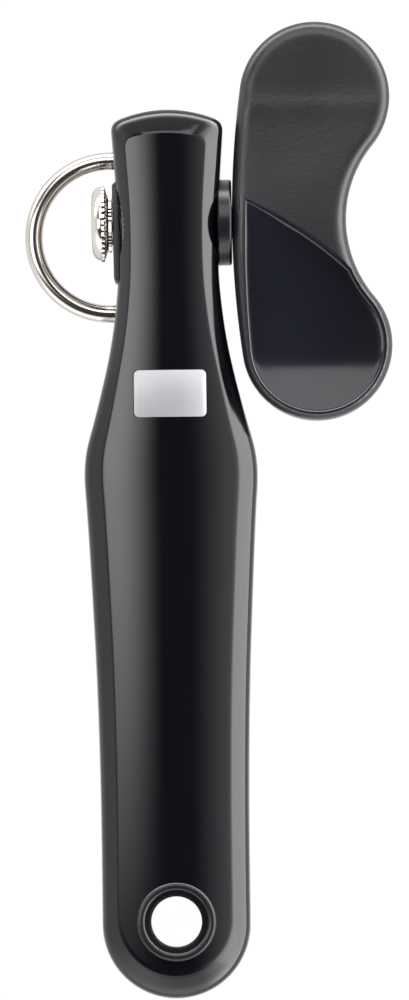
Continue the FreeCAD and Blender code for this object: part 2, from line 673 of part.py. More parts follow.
bow_bend = doc.addObject("Part::Torus", "bow_bend")
tie(bow_bend, "Radius1", "bow_radius")
tie(bow_bend, "Radius2", "wire_radius")
bow_bend.Angle3 = 180
place(bow_bend, ("-bow_out", "-bow_drop", "split_height"), Rotation(Vector(0, 0, 1), 90))
LEG_END = "-(%s) + frame_sheet + bow_washer_thick + nut_thick + bow_tail" % FRAME_HALF
BOW_LEGS = (("upper", "bow_radius - bow_drop"), ("lower", "-bow_radius - bow_drop"))
bow_legs = [rod("bow_leg_" + end, ("-bow_out", rise, "split_height"), "bow_out + " + LEG_END, "wire_radius")
            for end, rise in BOW_LEGS]
publish(fuse("bow_wire", bow_bend, *bow_legs), "guide_bow")

WASHER_START = "-(%s) + frame_sheet" % FRAME_HALF
NUT_START = WASHER_START + " + bow_washer_thick"
bow_washers = []
bow_nuts = []
for end, rise in BOW_LEGS:
    washer = ring("bow_washer_" + end, WASHER_START, NUT_START, "wire_radius", "bow_washer_radius")
    place(washer, ("0", rise, "split_height"))
    bow_washers.append(washer)
    hexagon = doc.addObject("Part::Prism", "bow_nut_hexagon_" + end)
    hexagon.Polygon = 6
    tie(hexagon, "Circumradius", "nut_flats / 2 / cos(30 deg)")
    tie(hexagon, "Height", "nut_thick")
    place(hexagon, (NUT_START, rise, "split_height"), ALONG_X)
    bow_nuts.append(cut("bow_nut_" + end, hexagon,
                        rod("bow_nut_bore_" + end, (NUT_START, rise, "split_height"), "nut_thick",
                            "wire_radius")))
publish(group("bow_washer_group", *bow_washers), "bow_washers")
publish(group("bow_nut_group", *bow_nuts), "bow_nuts")

# ---------------------------------------------------------------- cutting wheel

CUTTER_IN = "-cutter_out + cutter_thick"
publish(turned("cutter_turned", [
    ("-cutter_out", "axle_radius + running_gap"), ("-cutter_out", "cutter_radius - cutter_bevel"),
    (CUTTER_IN + " - cutter_edge_in", "cutter_radius"), (CUTTER_IN, "cutter_radius - cutter_edge_in"),
    (CUTTER_IN, "axle_radius + running_gap")]), "cutting_wheel", ON_CUTTER)
publish(ring("cutter_washer_turned", CUTTER_IN + " + side_gap", "-plate_out_upper",
             "axle_radius", "cutter_washer_radius"), "cutter_washer", ON_CUTTER)
AXLE_SHOULDER = "-cutter_out - side_gap"
AXLE_INSIDE = "-(%s) + frame_sheet" % FRAME_HALF
publish(turned("axle_turned", [
    (AXLE_SHOULDER + " - axle_head", "0"), (AXLE_SHOULDER + " - axle_head",
                                            "axle_head_radius - axle_head / 2"),
    (AXLE_SHOULDER + " - axle_head / 2", "axle_head_radius"), (AXLE_SHOULDER, "axle_head_radius"),
    (AXLE_SHOULDER, "axle_radius"), (AXLE_INSIDE, "axle_radius"), (AXLE_INSIDE,
                                                                   "axle_radius + axle_head / 2"),
    (AXLE_INSIDE + " + axle_head", "axle_radius"), (AXLE_INSIDE + " + axle_head", "0")]),
    "cutter_axle", ON_CUTTER)

# ---------------------------------------------------------------- eccentric bush

BUSH_START = "-ring_back + thrust_thick + side_gap"
CLIP_START = WAVE_START + " - side_gap - clip_thick"
bush_core = rod("eccentric_core", (BUSH_START, "0", ECCENTRIC_HEIGHT), "collar_end - (%s)" % BUSH_START,
                "eccentric_radius")
bush_collar = rod("eccentric_collar", ("collar_start", "0", "axis_height"), "collar_end - collar_start",
                  "collar_radius")
SLOT_INNER = "stop_pin_reach - stop_pin_radius - side_gap"
SLOT_OUTER = "stop_pin_reach + stop_pin_radius + side_gap"
slot_sector = rod("stop_slot_sector", ("collar_start", "0", ECCENTRIC_HEIGHT), "stop_slot_depth",
                  SLOT_OUTER)
tie(slot_sector, "Angle", "closing_turn")
slot_sector.Placement = Placement(slot_sector.Placement.Base,
                                  Rotation(Vector(1, 0, 0), 90 - number("closing_turn") / 2).multiply(
                                      Rotation(Vector(0, 1, 0), 90).multiply(Rotation(Vector(0, 0, 1),
                                                                                      90))))
slot_core = rod("stop_slot_core", ("collar_start", "0", ECCENTRIC_HEIGHT), "stop_slot_depth", SLOT_INNER)
slot_ends = [rod("stop_slot_end_%d" % index, ("collar_start", "stop_pin_reach * sin(%s)" % angle,
                                              ECCENTRIC_HEIGHT + " + stop_pin_reach * cos(%s)" % angle),
                 "stop_slot_depth", "stop_pin_radius + side_gap")
             for index, angle in enumerate(("stop_angle * 1 deg", "(stop_angle - closing_turn) * 1 deg"))]
stop_slot = fuse("stop_slot", cut("stop_slot_arc", slot_sector, slot_core), *slot_ends)
clip_groove = cut("eccentric_groove",
                  rod("eccentric_groove_outside", (CLIP_START, "0", ECCENTRIC_HEIGHT), "clip_thick",
                      "eccentric_radius + side_gap"),
                  rod("eccentric_groove_inside", (CLIP_START, "0", ECCENTRIC_HEIGHT), "clip_thick",
                      "eccentric_radius - clip_thick / 2"))
bush = cut("eccentric_cut", fuse("eccentric_blank", bush_core, bush_collar),
           rod("eccentric_bore", ("-overrun", "0", "axis_height"), "2 * overrun",
               "spindle_radius + running_gap"),
           stop_slot, clip_groove)
publish(bush, "eccentric_bush")


def open_clip(name, start, inner, outer, opening):
    """Snap ring with a gap at its lower side."""
    whole = ring(name + "_ring", start, start + " + clip_thick", inner, outer)
    gap = block(name + "_gap", (start + " - side_gap", "-(%s) / 2" % opening, "-(%s) - side_gap" % outer),
                ("clip_thick + 2 * side_gap", opening, outer))
    return cut(name + "_open", whole, gap)


publish(open_clip("eccentric_clip", CLIP_START, "eccentric_radius - clip_thick / 2",
                  COUNTERBORE + " - side_gap",
                  "eccentric_radius"), "eccentric_clip", ON_ECCENTRIC)

# ---------------------------------------------------------------- spindle and feed wheel

CLIP_SEAT = "knob_face + side_gap"
SEAT_END = "-wheel_dome_edge"
spindle_round = turned("spindle_turned", [
    (SEAT_END, "0"), (SEAT_END, "seat_radius"), ("-ring_back", "seat_radius"), ("-ring_back",
                                                                                "spindle_radius"),
    (CLIP_SEAT, "spindle_radius"), (CLIP_SEAT, "spindle_radius - clip_thick / 2"),
    (CLIP_SEAT + " + clip_thick", "spindle_radius - clip_thick / 2"), (CLIP_SEAT + " + clip_thick",
                                                                       "spindle_radius"),
    ("spindle_end", "spindle_radius"), ("spindle_end", "0")])
square_keep = block("spindle_square_keep", ("insert_start", "-square / 2", "-square / 2"), ("overrun",
    "square", "square"))
square_away = cut("spindle_square_away",
                  block("spindle_square_round", ("insert_start", "-2 * square", "-2 * square"),
                        ("overrun", "4 * square", "4 * square")), square_keep)
spindle = cut("spindle_cut", spindle_round, square_away,
              rod("spindle_tapped_hole", ("spindle_end - knob_screw_depth - seat_gap", "0", "0"), "overrun",
                  "knob_screw_radius"))
publish(spindle, "drive_spindle", ON_SPINDLE)
publish(open_clip("spindle_clip", CLIP_SEAT, "spindle_radius - clip_thick / 2",
                  "spindle_radius + 2 * clip_thick",
                  "spindle_radius"), "spindle_clip", ON_SPINDLE)

feed_wheel = turned("feed_wheel_turned", [
    ("-wheel_nose", "0"), ("-wheel_dome_edge", "wheel_dome_radius"), ("-wheel_band_start", "wheel_radius"),
    ("-wheel_band_end", "wheel_radius"), ("-wheel_back", "wheel_cone_radius"), ("-wheel_back",
                                                                                "seat_radius"),
    (SEAT_END, "seat_radius"), (SEAT_END, "0")], {0: ("dome_bulge", 1)})
notched(feed_wheel, "tooth", "-wheel_dome_edge", "wheel_dome_edge - wheel_back", "wheel_radius",
        "tooth_depth",
        "wheel_teeth")
publish(feed_wheel, "feed_wheel", ON_SPINDLE)
knurled = ring("knurled_ring_turned", "-wheel_back", "-ring_back", "seat_radius", "ring_radius")
notched(knurled, "knurl", "-wheel_back - side_gap", "wheel_back", "ring_radius", "knurl_depth",
        "ring_knurls")
publish(knurled, "knurled_ring", ON_SPINDLE)
publish(ring("thrust_washer_turned", "-ring_back", "-ring_back + thrust_thick", "spindle_radius",
             "thrust_radius"),
        "thrust_washer", ON_SPINDLE)

# ---------------------------------------------------------------- knob

WAIST_ARC = "((waist_out - lobe_out)^2 + lobe_offset^2 - lobe_radius^2) / (2 * (lobe_radius - waist_out + lobe_out))"
FACE_ARC = "((lobe_out - knob_face)^2 + lobe_offset^2 - lobe_radius^2) / (2 * (lobe_out - knob_face - lobe_radius))"
WAIST_SHARE = "lobe_radius / (lobe_radius + (%s))" % WAIST_ARC
TOUCH_OUT = "lobe_out + (%s) * (waist_out + (%s) - lobe_out)" % (WAIST_SHARE, WAIST_ARC)
TOUCH_RISE = "lobe_offset * (1 - (%s))" % WAIST_SHARE
FACE_SHARE = "(%s) / ((%s) - lobe_radius)" % (FACE_ARC, FACE_ARC)
FACE_TOUCH_OUT = "knob_face + (%s) - (%s) * (knob_face + (%s) - lobe_out)" % (FACE_ARC, FACE_SHARE,
                                                                              FACE_ARC)
FACE_TOUCH_RISE = "lobe_offset * (%s)" % FACE_SHARE
LOBE_TOP = "lobe_offset + lobe_radius"
LOBE_SIDE = "lobe_out + lobe_radius"


def sagitta(radius, half_chord):
    return "(%s) - sqrt((%s)^2 - (%s)^2)" % (radius, radius, half_chord)


def quarter(first, last, radius):
    """Bulge of an arc of known radius between two corners."""
    across = "sqrt(((%s) - (%s))^2 + ((%s) - (%s))^2) / 2" % (last[0], first[0], last[1], first[1])
    return sagitta(radius, across)


knob_corners = [
    (FACE_TOUCH_OUT, FACE_TOUCH_RISE), ("lobe_out", LOBE_TOP), (LOBE_SIDE, "lobe_offset"), (TOUCH_OUT,
                                                                                            TOUCH_RISE),
    (TOUCH_OUT, "-(%s)" % TOUCH_RISE), (LOBE_SIDE, "-lobe_offset"), ("lobe_out", "-(%s)" % LOBE_TOP),
    (FACE_TOUCH_OUT, "-(%s)" % FACE_TOUCH_RISE)]
lobe_sides = {side: (quarter(knob_corners[side], knob_corners[side + 1], "lobe_radius"), -1)
              for side in (0, 1, 2, 4, 5, 6)}
knob_sides = {**lobe_sides, 3: (sagitta(WAIST_ARC, TOUCH_RISE), 1), 7: (sagitta(FACE_ARC,
                                                                                FACE_TOUCH_RISE), -1)}
knob_prism = padded("knob_prism", "XY_Plane", knob_corners, knob_sides, "-knob_half", "2 * knob_half")


def knob_rim_edge(edge):
    """True for the edges round the knob's two broad faces."""
    return edge.BoundBox.ZMax - edge.BoundBox.ZMin < 0.001


knob_form = rounded("knob_rounded", knob_prism, knob_rim_edge, number("knob_round"))

SCOOP_RADIUS = "lobe_radius - scoop_rim"


def finger_scoop(name, hand):
    """Dished pocket for a finger: in front of the lower lobe for hand 1, and behind the
    upper lobe for hand -1, where the whole is turned half round about the spindle."""
    first = ("scoop_start_out", "scoop_start_rise")
    last = ("lobe_out + (%s) * cos(scoop_end_angle * 1 deg)" % SCOOP_RADIUS,
            "-lobe_offset + (%s) * sin(scoop_end_angle * 1 deg)" % SCOOP_RADIUS)
    bottom = ("lobe_out", "-lobe_offset - (%s)" % SCOOP_RADIUS)
    left = ("lobe_out - (%s) * cos(scoop_end_angle * 1 deg)" % SCOOP_RADIUS,
            "-lobe_offset - (%s) * sin(scoop_end_angle * 1 deg)" % SCOOP_RADIUS)
    sides = {0: ("scoop_ridge_bulge", -1), 1: (quarter(last, bottom, SCOOP_RADIUS), -1),
             2: (quarter(bottom, left, SCOOP_RADIUS), -1), 3: ("scoop_side_bulge", -1)}
    prism = padded(name + "_prism", "XY_Plane", [first, last, bottom, left], sides, "0",
                   "knob_half + overrun")
    floor = rod(name + "_floor", ("-overrun", "-scoop_floor_drop", "scoop_floor + scoop_floor_radius"),
                "lobe_out + lobe_radius + 2 * overrun", "scoop_floor_radius")
    dish = common(name, prism, floor)
    if hand < 0:
        dish.Placement = Placement(Vector(), Rotation(Vector(1, 0, 0), 180))
    return dish


KNOB_TOOLS = [
    finger_scoop("front_scoop", 1),
    finger_scoop("back_scoop", -1),
    rod("knob_clip_room", ("0", "0", "0"), "knob_face + clip_room", "spindle_radius + 4 * clip_thick"),
    rod("knob_spindle_bore", ("0", "0", "0"), "insert_end", "spindle_radius + side_gap"),
    rod("knob_insert_bore", ("insert_start", "0", "0"), "insert_end - insert_start", "insert_radius"),
    rod("knob_screw_bore", ("0", "0", "0"), "waist_out", "knob_screw_radius + side_gap"),
    rod("knob_screw_seat", ("knob_screw_seat", "0", "0"), "overrun", "plug_radius"),
]
publish(cut("knob_cut", knob_form, *KNOB_TOOLS), "knob", ON_SPINDLE)

insert_round = ring("insert_turned", "insert_start", "insert_end", "knob_screw_radius + side_gap",
                    "insert_radius")
publish(cut("insert_cut", insert_round,
            block("insert_square", ("0", "-square / 2", "-square / 2"), ("spindle_end + seat_gap",
                                                                         "square", "square"))),
        "knob_insert", ON_SPINDLE)
knob_screw = turned("knob_screw_turned", [
    ("spindle_end - knob_screw_depth", "0"), ("spindle_end - knob_screw_depth", "knob_screw_radius"),
    ("knob_screw_seat", "knob_screw_radius"), ("knob_screw_seat", "knob_screw_head_radius"),
    ("knob_screw_seat + knob_screw_head * 2 / 3", "knob_screw_head_radius"),
    ("knob_screw_seat + knob_screw_head", "knob_screw_head_radius * 2 / 3"),
    ("knob_screw_seat + knob_screw_head", "0")])
knob_screw = cut("knob_screw_slotted", knob_screw,
                 block("knob_screw_slot", ("knob_screw_seat + knob_screw_head / 2",
                                           "-knob_screw_head_radius",
                                           "-knob_screw_head / 6"),
                       ("knob_screw_head", "2 * knob_screw_head_radius", "knob_screw_head / 3")))
publish(knob_screw, "knob_screw", ON_SPINDLE)
PLUG_END = "waist_out - plug_sink"
publish(turned("plug_turned", [
    (PLUG_END + " - plug_thick", "0"), (PLUG_END + " - plug_thick", "plug_radius"),
    (PLUG_END + " - plug_sink", "plug_radius"), (PLUG_END, "plug_radius - plug_sink"), (PLUG_END, "0")]),
    "knob_plug", ON_SPINDLE)

# ---------------------------------------------------------------- checks and files

doc.recompute()
failed = [thing.Name for thing in doc.Objects if "Invalid" in thing.State or "Error" in thing.State]
if failed:
    raise RuntimeError("these objects did not rebuild: " + ", ".join(failed))
for piece in published:
    if piece.Shape.isNull() or not piece.Shape.isValid():
        raise RuntimeError(piece.Label + " has no valid shape")

os.makedirs("parts", exist_ok=True)
for piece in published:
    piece.Shape.exportStep(os.path.join("parts", piece.Label + ".step"))
    print("%-16s %2d solid(s) %10.1f mm3" % (piece.Label, len(piece.Shape.Solids), piece.Shape.Volume))
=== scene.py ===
"""Manual can opener: the finished looks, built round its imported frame.

The opener lies on its back. Shapes are drawn in millimetres in the opener's own drawing
frame, where U runs across from the handle's middle plane, V runs up from the spindle's
axis and Z rises from the back face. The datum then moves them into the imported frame.
"""

from __future__ import annotations

import json
import logging
import math
from collections.abc import Callable, Iterable, Sequence
from dataclasses import dataclass, field
from enum import Enum

import bmesh
import bpy
from mathutils import Matrix, Vector
from mathutils.geometry import interpolate_bezier, intersect_point_line

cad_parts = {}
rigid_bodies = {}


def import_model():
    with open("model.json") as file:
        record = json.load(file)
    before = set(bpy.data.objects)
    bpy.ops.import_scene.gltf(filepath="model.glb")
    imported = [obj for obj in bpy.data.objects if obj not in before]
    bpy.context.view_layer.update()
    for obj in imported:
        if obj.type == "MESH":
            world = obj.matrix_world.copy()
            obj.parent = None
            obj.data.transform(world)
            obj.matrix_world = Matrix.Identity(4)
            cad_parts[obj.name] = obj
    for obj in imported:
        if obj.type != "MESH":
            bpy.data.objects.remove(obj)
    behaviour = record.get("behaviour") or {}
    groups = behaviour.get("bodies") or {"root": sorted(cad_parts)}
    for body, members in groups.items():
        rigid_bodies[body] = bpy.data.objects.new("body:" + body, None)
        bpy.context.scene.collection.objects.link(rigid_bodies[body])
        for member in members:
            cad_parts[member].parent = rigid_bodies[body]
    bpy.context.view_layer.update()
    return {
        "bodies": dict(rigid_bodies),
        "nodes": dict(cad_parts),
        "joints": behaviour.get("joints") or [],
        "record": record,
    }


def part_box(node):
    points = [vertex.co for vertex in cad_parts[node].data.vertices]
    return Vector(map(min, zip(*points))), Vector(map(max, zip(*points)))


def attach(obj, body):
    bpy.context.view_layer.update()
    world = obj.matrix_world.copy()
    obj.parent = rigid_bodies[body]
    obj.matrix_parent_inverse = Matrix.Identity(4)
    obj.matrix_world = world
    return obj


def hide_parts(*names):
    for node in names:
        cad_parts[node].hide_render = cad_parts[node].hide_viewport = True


MM = 0.001
MERGE = 1e-4
ACROSS = Vector((1, 0, 0))
UPWARD = Vector((0, 0, 1))
LOG = logging.getLogger("can_opener")


# ---------------------------------------------------------------- colour and nodes


def linear(code: str) -> tuple[float, float, float, float]:
    """Turns an sRGB colour into linear values.

    Args:
        code: Six hex digits after a hash.

    Returns:
        Linear red, green and blue, and an alpha of one.
    """
    parts = [int(code[start : start + 2], 16) / 255 for start in (1, 3, 5)]
    red, green, blue = (
        part / 12.92 if part <= 0.04045 else ((part + 0.055) / 1.055) ** 2.4 for part in parts
    )
    return red, green, blue, 1.0


def add_node(
    tree: bpy.types.NodeTree,
    kind: str,
    inputs: dict[str | int, object] | None = None,
    **settings: object,
) -> bpy.types.Node:
    """Adds one node with its settings, and links or sets its inputs.

    Args:
        tree: Node tree that takes the node.
        kind: Name of the node type.
        inputs: Value or output socket for each named or numbered input.
        **settings: Properties of the node itself.

    Returns:
        The new node.
    """
    node = tree.nodes.new(kind)
    for name, value in settings.items():
        setattr(node, name, value)
    for name, value in (inputs or {}).items():
        if isinstance(value, bpy.types.NodeSocket):
            tree.links.new(value, node.inputs[name])
        else:
            node.inputs[name].default_value = value
    return node


# ---------------------------------------------------------------- finishes


class Grain(Enum):
    """Ways that a surface's fine relief was left by its making."""

    PEEL = "mould polish with a faint ripple"
    PITS = "spark-eroded mould texture"
    DRAWN = "lines drawn or brushed along one axis"
    TURNED = "rings left by a lathe tool"
    ROLLED = "uneven rolled sheet"


@dataclass(frozen=True)
class Finish:
    """One real material and the surface that its making left on it.

    Attributes:
        name: What the material is, in a maker's words.
        colour: Its own colour, as sRGB hex.
        worn: The colour it leans to in patches.
        metallic: One for bare metal, nought for plastic.
        roughness: Its middle roughness.
        swing: How far the roughness wanders either way.
        grain: How the surface was made.
        grain_mm: Distance between neighbouring marks.
        relief_mm: Height of the marks.
        patch_mm: Size of the patches of wear or polish.
        stretch: Shares of the pattern's scale along X, Y and Z.
        ior: Index of refraction, for plastics only.
        centre: Point on the turning axis, for turned surfaces.
    """

    name: str
    colour: str
    worn: str
    metallic: float
    roughness: float
    swing: float
    grain: Grain
    grain_mm: float
    relief_mm: float
    patch_mm: float = 9.0
    stretch: tuple[float, float, float] = (1.0, 1.0, 1.0)
    ior: float = 1.5
    centre: tuple[float, float, float] = (0.0, 0.0, 0.0)

    def build(self) -> bpy.types.Material:
        """Makes the material.

        Returns:
            The new material, which reads Object coordinates.
        """
        material = bpy.data.materials.new(self.name)
        material.use_nodes = True
        tree = material.node_tree
        tree.nodes.clear()
        spot = add_node(tree, "ShaderNodeTexCoord").outputs["Object"]
        height = self._grain_height(tree, spot)
        patches = add_node(
            tree,
            "ShaderNodeTexNoise",
            {"Vector": spot, "Scale": 1 / (self.patch_mm * MM), "Detail": 3.0, "Roughness": 0.55},
        )
        rough = add_node(
            tree,
            "ShaderNodeMapRange",
            {
                "Value": patches.outputs["Fac"],
                "From Min": 0.15,
                "From Max": 0.85,
                "To Min": max(self.roughness - self.swing, 0.0),
                "To Max": self.roughness + self.swing,
            },
        )
        tone = add_node(
            tree,
            "ShaderNodeMix",
            {0: patches.outputs["Fac"], 6: linear(self.colour), 7: linear(self.worn)},
            data_type="RGBA",
        )
        bump = add_node(
            tree,
            "ShaderNodeBump",
            {"Height": height, "Distance": self.relief_mm * MM, "Strength": 1.0},
        )
        surface = {
            "Base Color": tone.outputs[2],
            "Roughness": rough.outputs["Result"],
            "Normal": bump.outputs["Normal"],
            "Metallic": self.metallic,
        }
        if not self.metallic:
            surface["IOR"] = self.ior
        shader = add_node(tree, "ShaderNodeBsdfPrincipled", surface)
        add_node(tree, "ShaderNodeOutputMaterial", {"Surface": shader.outputs["BSDF"]})
        return material

    def _grain_height(
        self, tree: bpy.types.NodeTree, spot: bpy.types.NodeSocket
    ) -> bpy.types.NodeSocket:
        """Adds the pattern of fine marks.

        Args:
            tree: The material's node tree.
            spot: Socket with the place on the piece.

        Returns:
            Socket with the height of the marks, from nought to one.
        """
        scale = [share / (self.grain_mm * MM) for share in self.stretch]
        shift = [-place * size for place, size in zip(self.centre, scale)]
        spread = add_node(
            tree, "ShaderNodeMapping", {"Vector": spot, "Location": shift, "Scale": scale}
        ).outputs["Vector"]
        if self.grain is Grain.TURNED:
            rings = add_node(
                tree,
                "ShaderNodeTexWave",
                {"Vector": spread, "Scale": 0.5, "Distortion": 1.2, "Detail": 2.0},
                wave_type="RINGS",
                rings_direction="X",
            )
            return rings.outputs["Fac"]
        if self.grain is Grain.PITS:
            pits = add_node(
                tree, "ShaderNodeTexVoronoi", {"Vector": spread, "Scale": 1.0}, feature="SMOOTH_F1"
            )
            return pits.outputs["Distance"]
        noise = add_node(
            tree, "ShaderNodeTexNoise", {"Vector": spread, "Scale": 1.0, "Detail": 4.0}
        )
        return noise.outputs["Fac"]


# Handle shells are ABS from a polished mould: near black, wet gloss and a faint ripple.
HANDLE_ABS = Finish(
    "gloss_black_abs", "#05060a", "#08090d", 0.0, 0.1, 0.02, Grain.PEEL, 7.0, 0.004, 25.0, ior=1.53
)
# The eyelet and the eccentric are acetal: softer gloss than the shells.
SMALL_ACETAL = Finish(
    "satin_black_acetal",
    "#101114",
    "#17181b",
    0.0,
    0.26,
    0.05,
    Grain.PEEL,
    3.0,
    0.006,
    8.0,
    ior=1.48,
)
# The knob is ABS from a spark-eroded mould: satin, greyer in the light and finely pitted.
KNOB_ABS = Finish(
    "textured_black_abs",
    "#19191c",
    "#202023",
    0.0,
    0.3,
    0.05,
    Grain.PITS,
    0.6,
    0.02,
    16.0,
    ior=1.53,
)
# The finger pockets are left mirror-polished in the same mould, so they look wet and deeper.
POCKET_ABS = Finish(
    "polished_black_abs",
    "#17181f",
    "#1c1d25",
    0.0,
    0.11,
    0.03,
    Grain.PEEL,
    6.0,
    0.003,
    18.0,
    ior=1.53,
)
# The bearing plate is glass-filled nylon: dry and almost matt.
PLATE_NYLON = Finish(
    "matt_black_nylon", "#18191a", "#232425", 0.0, 0.42, 0.08, Grain.PITS, 0.4, 0.012, 5.0, ior=1.53
)
# The bow is drawn stainless wire, tumbled bright, with faint lines along the wire.
BOW_STAINLESS = Finish(
    "bright_stainless_wire", "#d6d2cc", "#bdb7af", 1.0, 0.13, 0.05, Grain.DRAWN, 1.2, 0.004, 6.0
)
# Feed wheel and ring are hardened and nickel plated: bright, nearly mirror.
WHEEL_NICKEL = Finish(
    "nickel_plated_steel", "#dedad4", "#c6c1b9", 1.0, 0.12, 0.05, Grain.ROLLED, 0.8, 0.003, 3.0
)
# The cutter is ground tool steel: greyer, with fine grinding rings.
CUTTER_STEEL = Finish(
    "ground_tool_steel", "#b5b3af", "#99968f", 1.0, 0.2, 0.06, Grain.TURNED, 0.35, 0.004, 4.0
)
# Spindle, sleeve, axle, washers and pin are free-cutting steel straight off the lathe.
TURNED_STEEL = Finish(
    "turned_mild_steel", "#b0aea9", "#918e88", 1.0, 0.28, 0.08, Grain.TURNED, 0.3, 0.005, 4.0
)
# The frame is pressed from rolled sheet with a thin zinc coat.
FRAME_SHEET = Finish(
    "zinced_sheet_steel", "#a7a9ab", "#8b8d90", 1.0, 0.38, 0.1, Grain.ROLLED, 2.5, 0.01, 7.0
)
# Screws, nuts and bow washers are zinc plated and barrelled.
PLATED_STEEL = Finish(
    "barrelled_zinc_plate", "#bfc1c3", "#a2a4a6", 1.0, 0.26, 0.08, Grain.ROLLED, 0.9, 0.004, 3.0
)
# Clips and the wave washer are oiled spring steel: dark and slightly brown.
SPRING_STEEL = Finish(
    "oiled_spring_steel", "#6a655f", "#544f49", 1.0, 0.33, 0.08, Grain.ROLLED, 1.0, 0.004, 3.0
)
# The insert is machined brass.
INSERT_BRASS = Finish(
    "machined_brass", "#c9a862", "#a98747", 1.0, 0.25, 0.07, Grain.TURNED, 0.3, 0.004, 4.0
)
# The badge is brushed stainless foil, brushed up and down; real brush lines of 0.05 mm
# are drawn 0.35 mm apart so that they show.
BADGE_FOIL = Finish(
    "brushed_stainless_foil",
    "#bebec0",
    "#aeafb2",
    1.0,
    0.55,
    0.06,
    Grain.DRAWN,
    0.35,
    0.006,
    5.0,
    stretch=(1.0, 0.03, 1.0),
)

NODE_FINISHES: dict[Finish, tuple[str, ...]] = {
    PLATED_STEEL: ("housing_screws", "bow_washers", "bow_nuts", "knob_screw"),
    FRAME_SHEET: ("head_frame",),
    TURNED_STEEL: ("bearing_sleeve", "stop_pin", "cutter_washer", "drive_spindle", "thrust_washer"),
    SPRING_STEEL: ("wave_washer", "eccentric_clip", "spindle_clip"),
    INSERT_BRASS: ("knob_insert",),
}


# ---------------------------------------------------------------- datum and pieces


@dataclass(frozen=True)
class Datum:
    """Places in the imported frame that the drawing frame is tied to, in millimetres.

    Attributes:
        middle: X of the handle's middle plane.
        spindle_up: Y of the spindle's axis.
        spindle_high: Z of the spindle's axis.
        eccentric_high: Z of the eccentric's axis.
        cutter_rise: V of the cutter's axis.
        cutter_high: Z of the cutter's axis.
        wire_high: Z of the bow's wire.
        parting: Z of the plane where the two shells meet.
    """

    middle: float
    spindle_up: float
    spindle_high: float
    eccentric_high: float
    cutter_rise: float
    cutter_high: float
    wire_high: float
    parting: float

    @classmethod
    def from_frame(cls) -> Datum:
        """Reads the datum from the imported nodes.

        Returns:
            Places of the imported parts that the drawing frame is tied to.
        """
        shell, ring = centre_of("front_shell"), centre_of("knurled_ring")
        bush, cutter = centre_of("wave_washer"), centre_of("cutting_wheel")
        return cls(
            middle=shell.x,
            spindle_up=ring.y,
            spindle_high=ring.z,
            eccentric_high=bush.z,
            cutter_rise=cutter.y - ring.y,
            cutter_high=cutter.z,
            wire_high=centre_of("guide_bow").z,
            parting=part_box("front_shell")[0].z / MM,
        )

    @property
    def matrix(self) -> Matrix:
        """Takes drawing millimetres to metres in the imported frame."""
        return Matrix.Scale(MM, 4) @ Matrix.Translation((self.middle, self.spindle_up, 0.0))


def centre_of(node: str) -> Vector:
    """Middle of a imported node's box, in millimetres."""
    low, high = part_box(node)
    return (low + high) / (2 * MM)


def sharpen(mesh: bpy.types.Mesh, degrees: float) -> None:
    """Shades a mesh smooth except across edges that turn by more than an angle.

    Args:
        mesh: Mesh to shade.
        degrees: Turn from which an edge stays sharp.
    """
    mesh.shade_smooth()
    mesh.set_sharp_from_angle(angle=math.radians(degrees))


@dataclass
class Workshop:
    """Turns finished bmeshes into pieces of the opener.

    Attributes:
        datum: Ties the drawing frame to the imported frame.
        materials: Each finish's material, made when it is first needed.
    """

    datum: Datum
    materials: dict[Finish, bpy.types.Material] = field(default_factory=dict)

    def material(self, finish: Finish) -> bpy.types.Material:
        """Material of a finish, made once."""
        if finish not in self.materials:
            self.materials[finish] = finish.build()
        return self.materials[finish]

    def piece(
        self,
        name: str,
        bm: bmesh.types.BMesh,
        finish: Finish,
        body: str,
        slot: str,
        nodes: Sequence[str],
        sharp_degrees: float = 32.0,
        second: Finish | None = None,
    ) -> bpy.types.Object:
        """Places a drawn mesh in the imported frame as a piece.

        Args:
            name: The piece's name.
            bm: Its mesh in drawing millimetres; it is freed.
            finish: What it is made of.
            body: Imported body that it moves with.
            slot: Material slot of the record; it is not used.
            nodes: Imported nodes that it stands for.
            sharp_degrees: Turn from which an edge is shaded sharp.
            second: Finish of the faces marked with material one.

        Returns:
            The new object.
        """
        bmesh.ops.transform(bm, matrix=self.datum.matrix, verts=bm.verts)
        made = put_down(name, bm)
        mesh = made.data
        sharpen(mesh, sharp_degrees)
        for coat in (finish, second):
            if coat:
                mesh.materials.append(self.material(coat))
        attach(made, body)
        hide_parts(*nodes)
        LOG.info("%s: %d faces on %s", name, len(mesh.polygons), body)
        return made

    def carve(
        self, blank: bmesh.types.BMesh, tools: Sequence[bmesh.types.BMesh]
    ) -> bmesh.types.BMesh:
        """Cuts tools out of a blank.

        Args:
            blank: Closed mesh to cut; it is freed.
            tools: Closed meshes to take away; they are freed.

        Returns:
            The cut mesh.
        """
        work = put_down("blank", blank)
        cutters = [put_down("tool", tool) for tool in tools]
        for cutter in cutters:
            step = work.modifiers.new("cut", "BOOLEAN")
            step.operation = "DIFFERENCE"
            step.solver = "EXACT"
            step.object = cutter
        bpy.context.view_layer.update()
        result = work.evaluated_get(bpy.context.evaluated_depsgraph_get())
        bm = bmesh.new()
        bm.from_mesh(result.to_mesh())
        result.to_mesh_clear()
        for thing in (work, *cutters):
            mesh = thing.data
            bpy.data.objects.remove(thing)
            bpy.data.meshes.remove(mesh)
        bmesh.ops.remove_doubles(bm, verts=bm.verts, dist=MERGE)
        bmesh.ops.dissolve_degenerate(bm, dist=MERGE, edges=bm.edges)
        return bm


def put_down(name: str, bm: bmesh.types.BMesh) -> bpy.types.Object:
    """Puts a bmesh in an object of the scene, and frees it.

    Args:
        name: Name of the object and its mesh.
        bm: Mesh to hand over.

    Returns:
        The object.
    """
    mesh = bpy.data.meshes.new(name)
    bm.to_mesh(mesh)
    bm.free()
    thing = bpy.data.objects.new(name, mesh)
    bpy.context.scene.collection.objects.link(thing)
    return thing


# ---------------------------------------------------------------- ways to draw


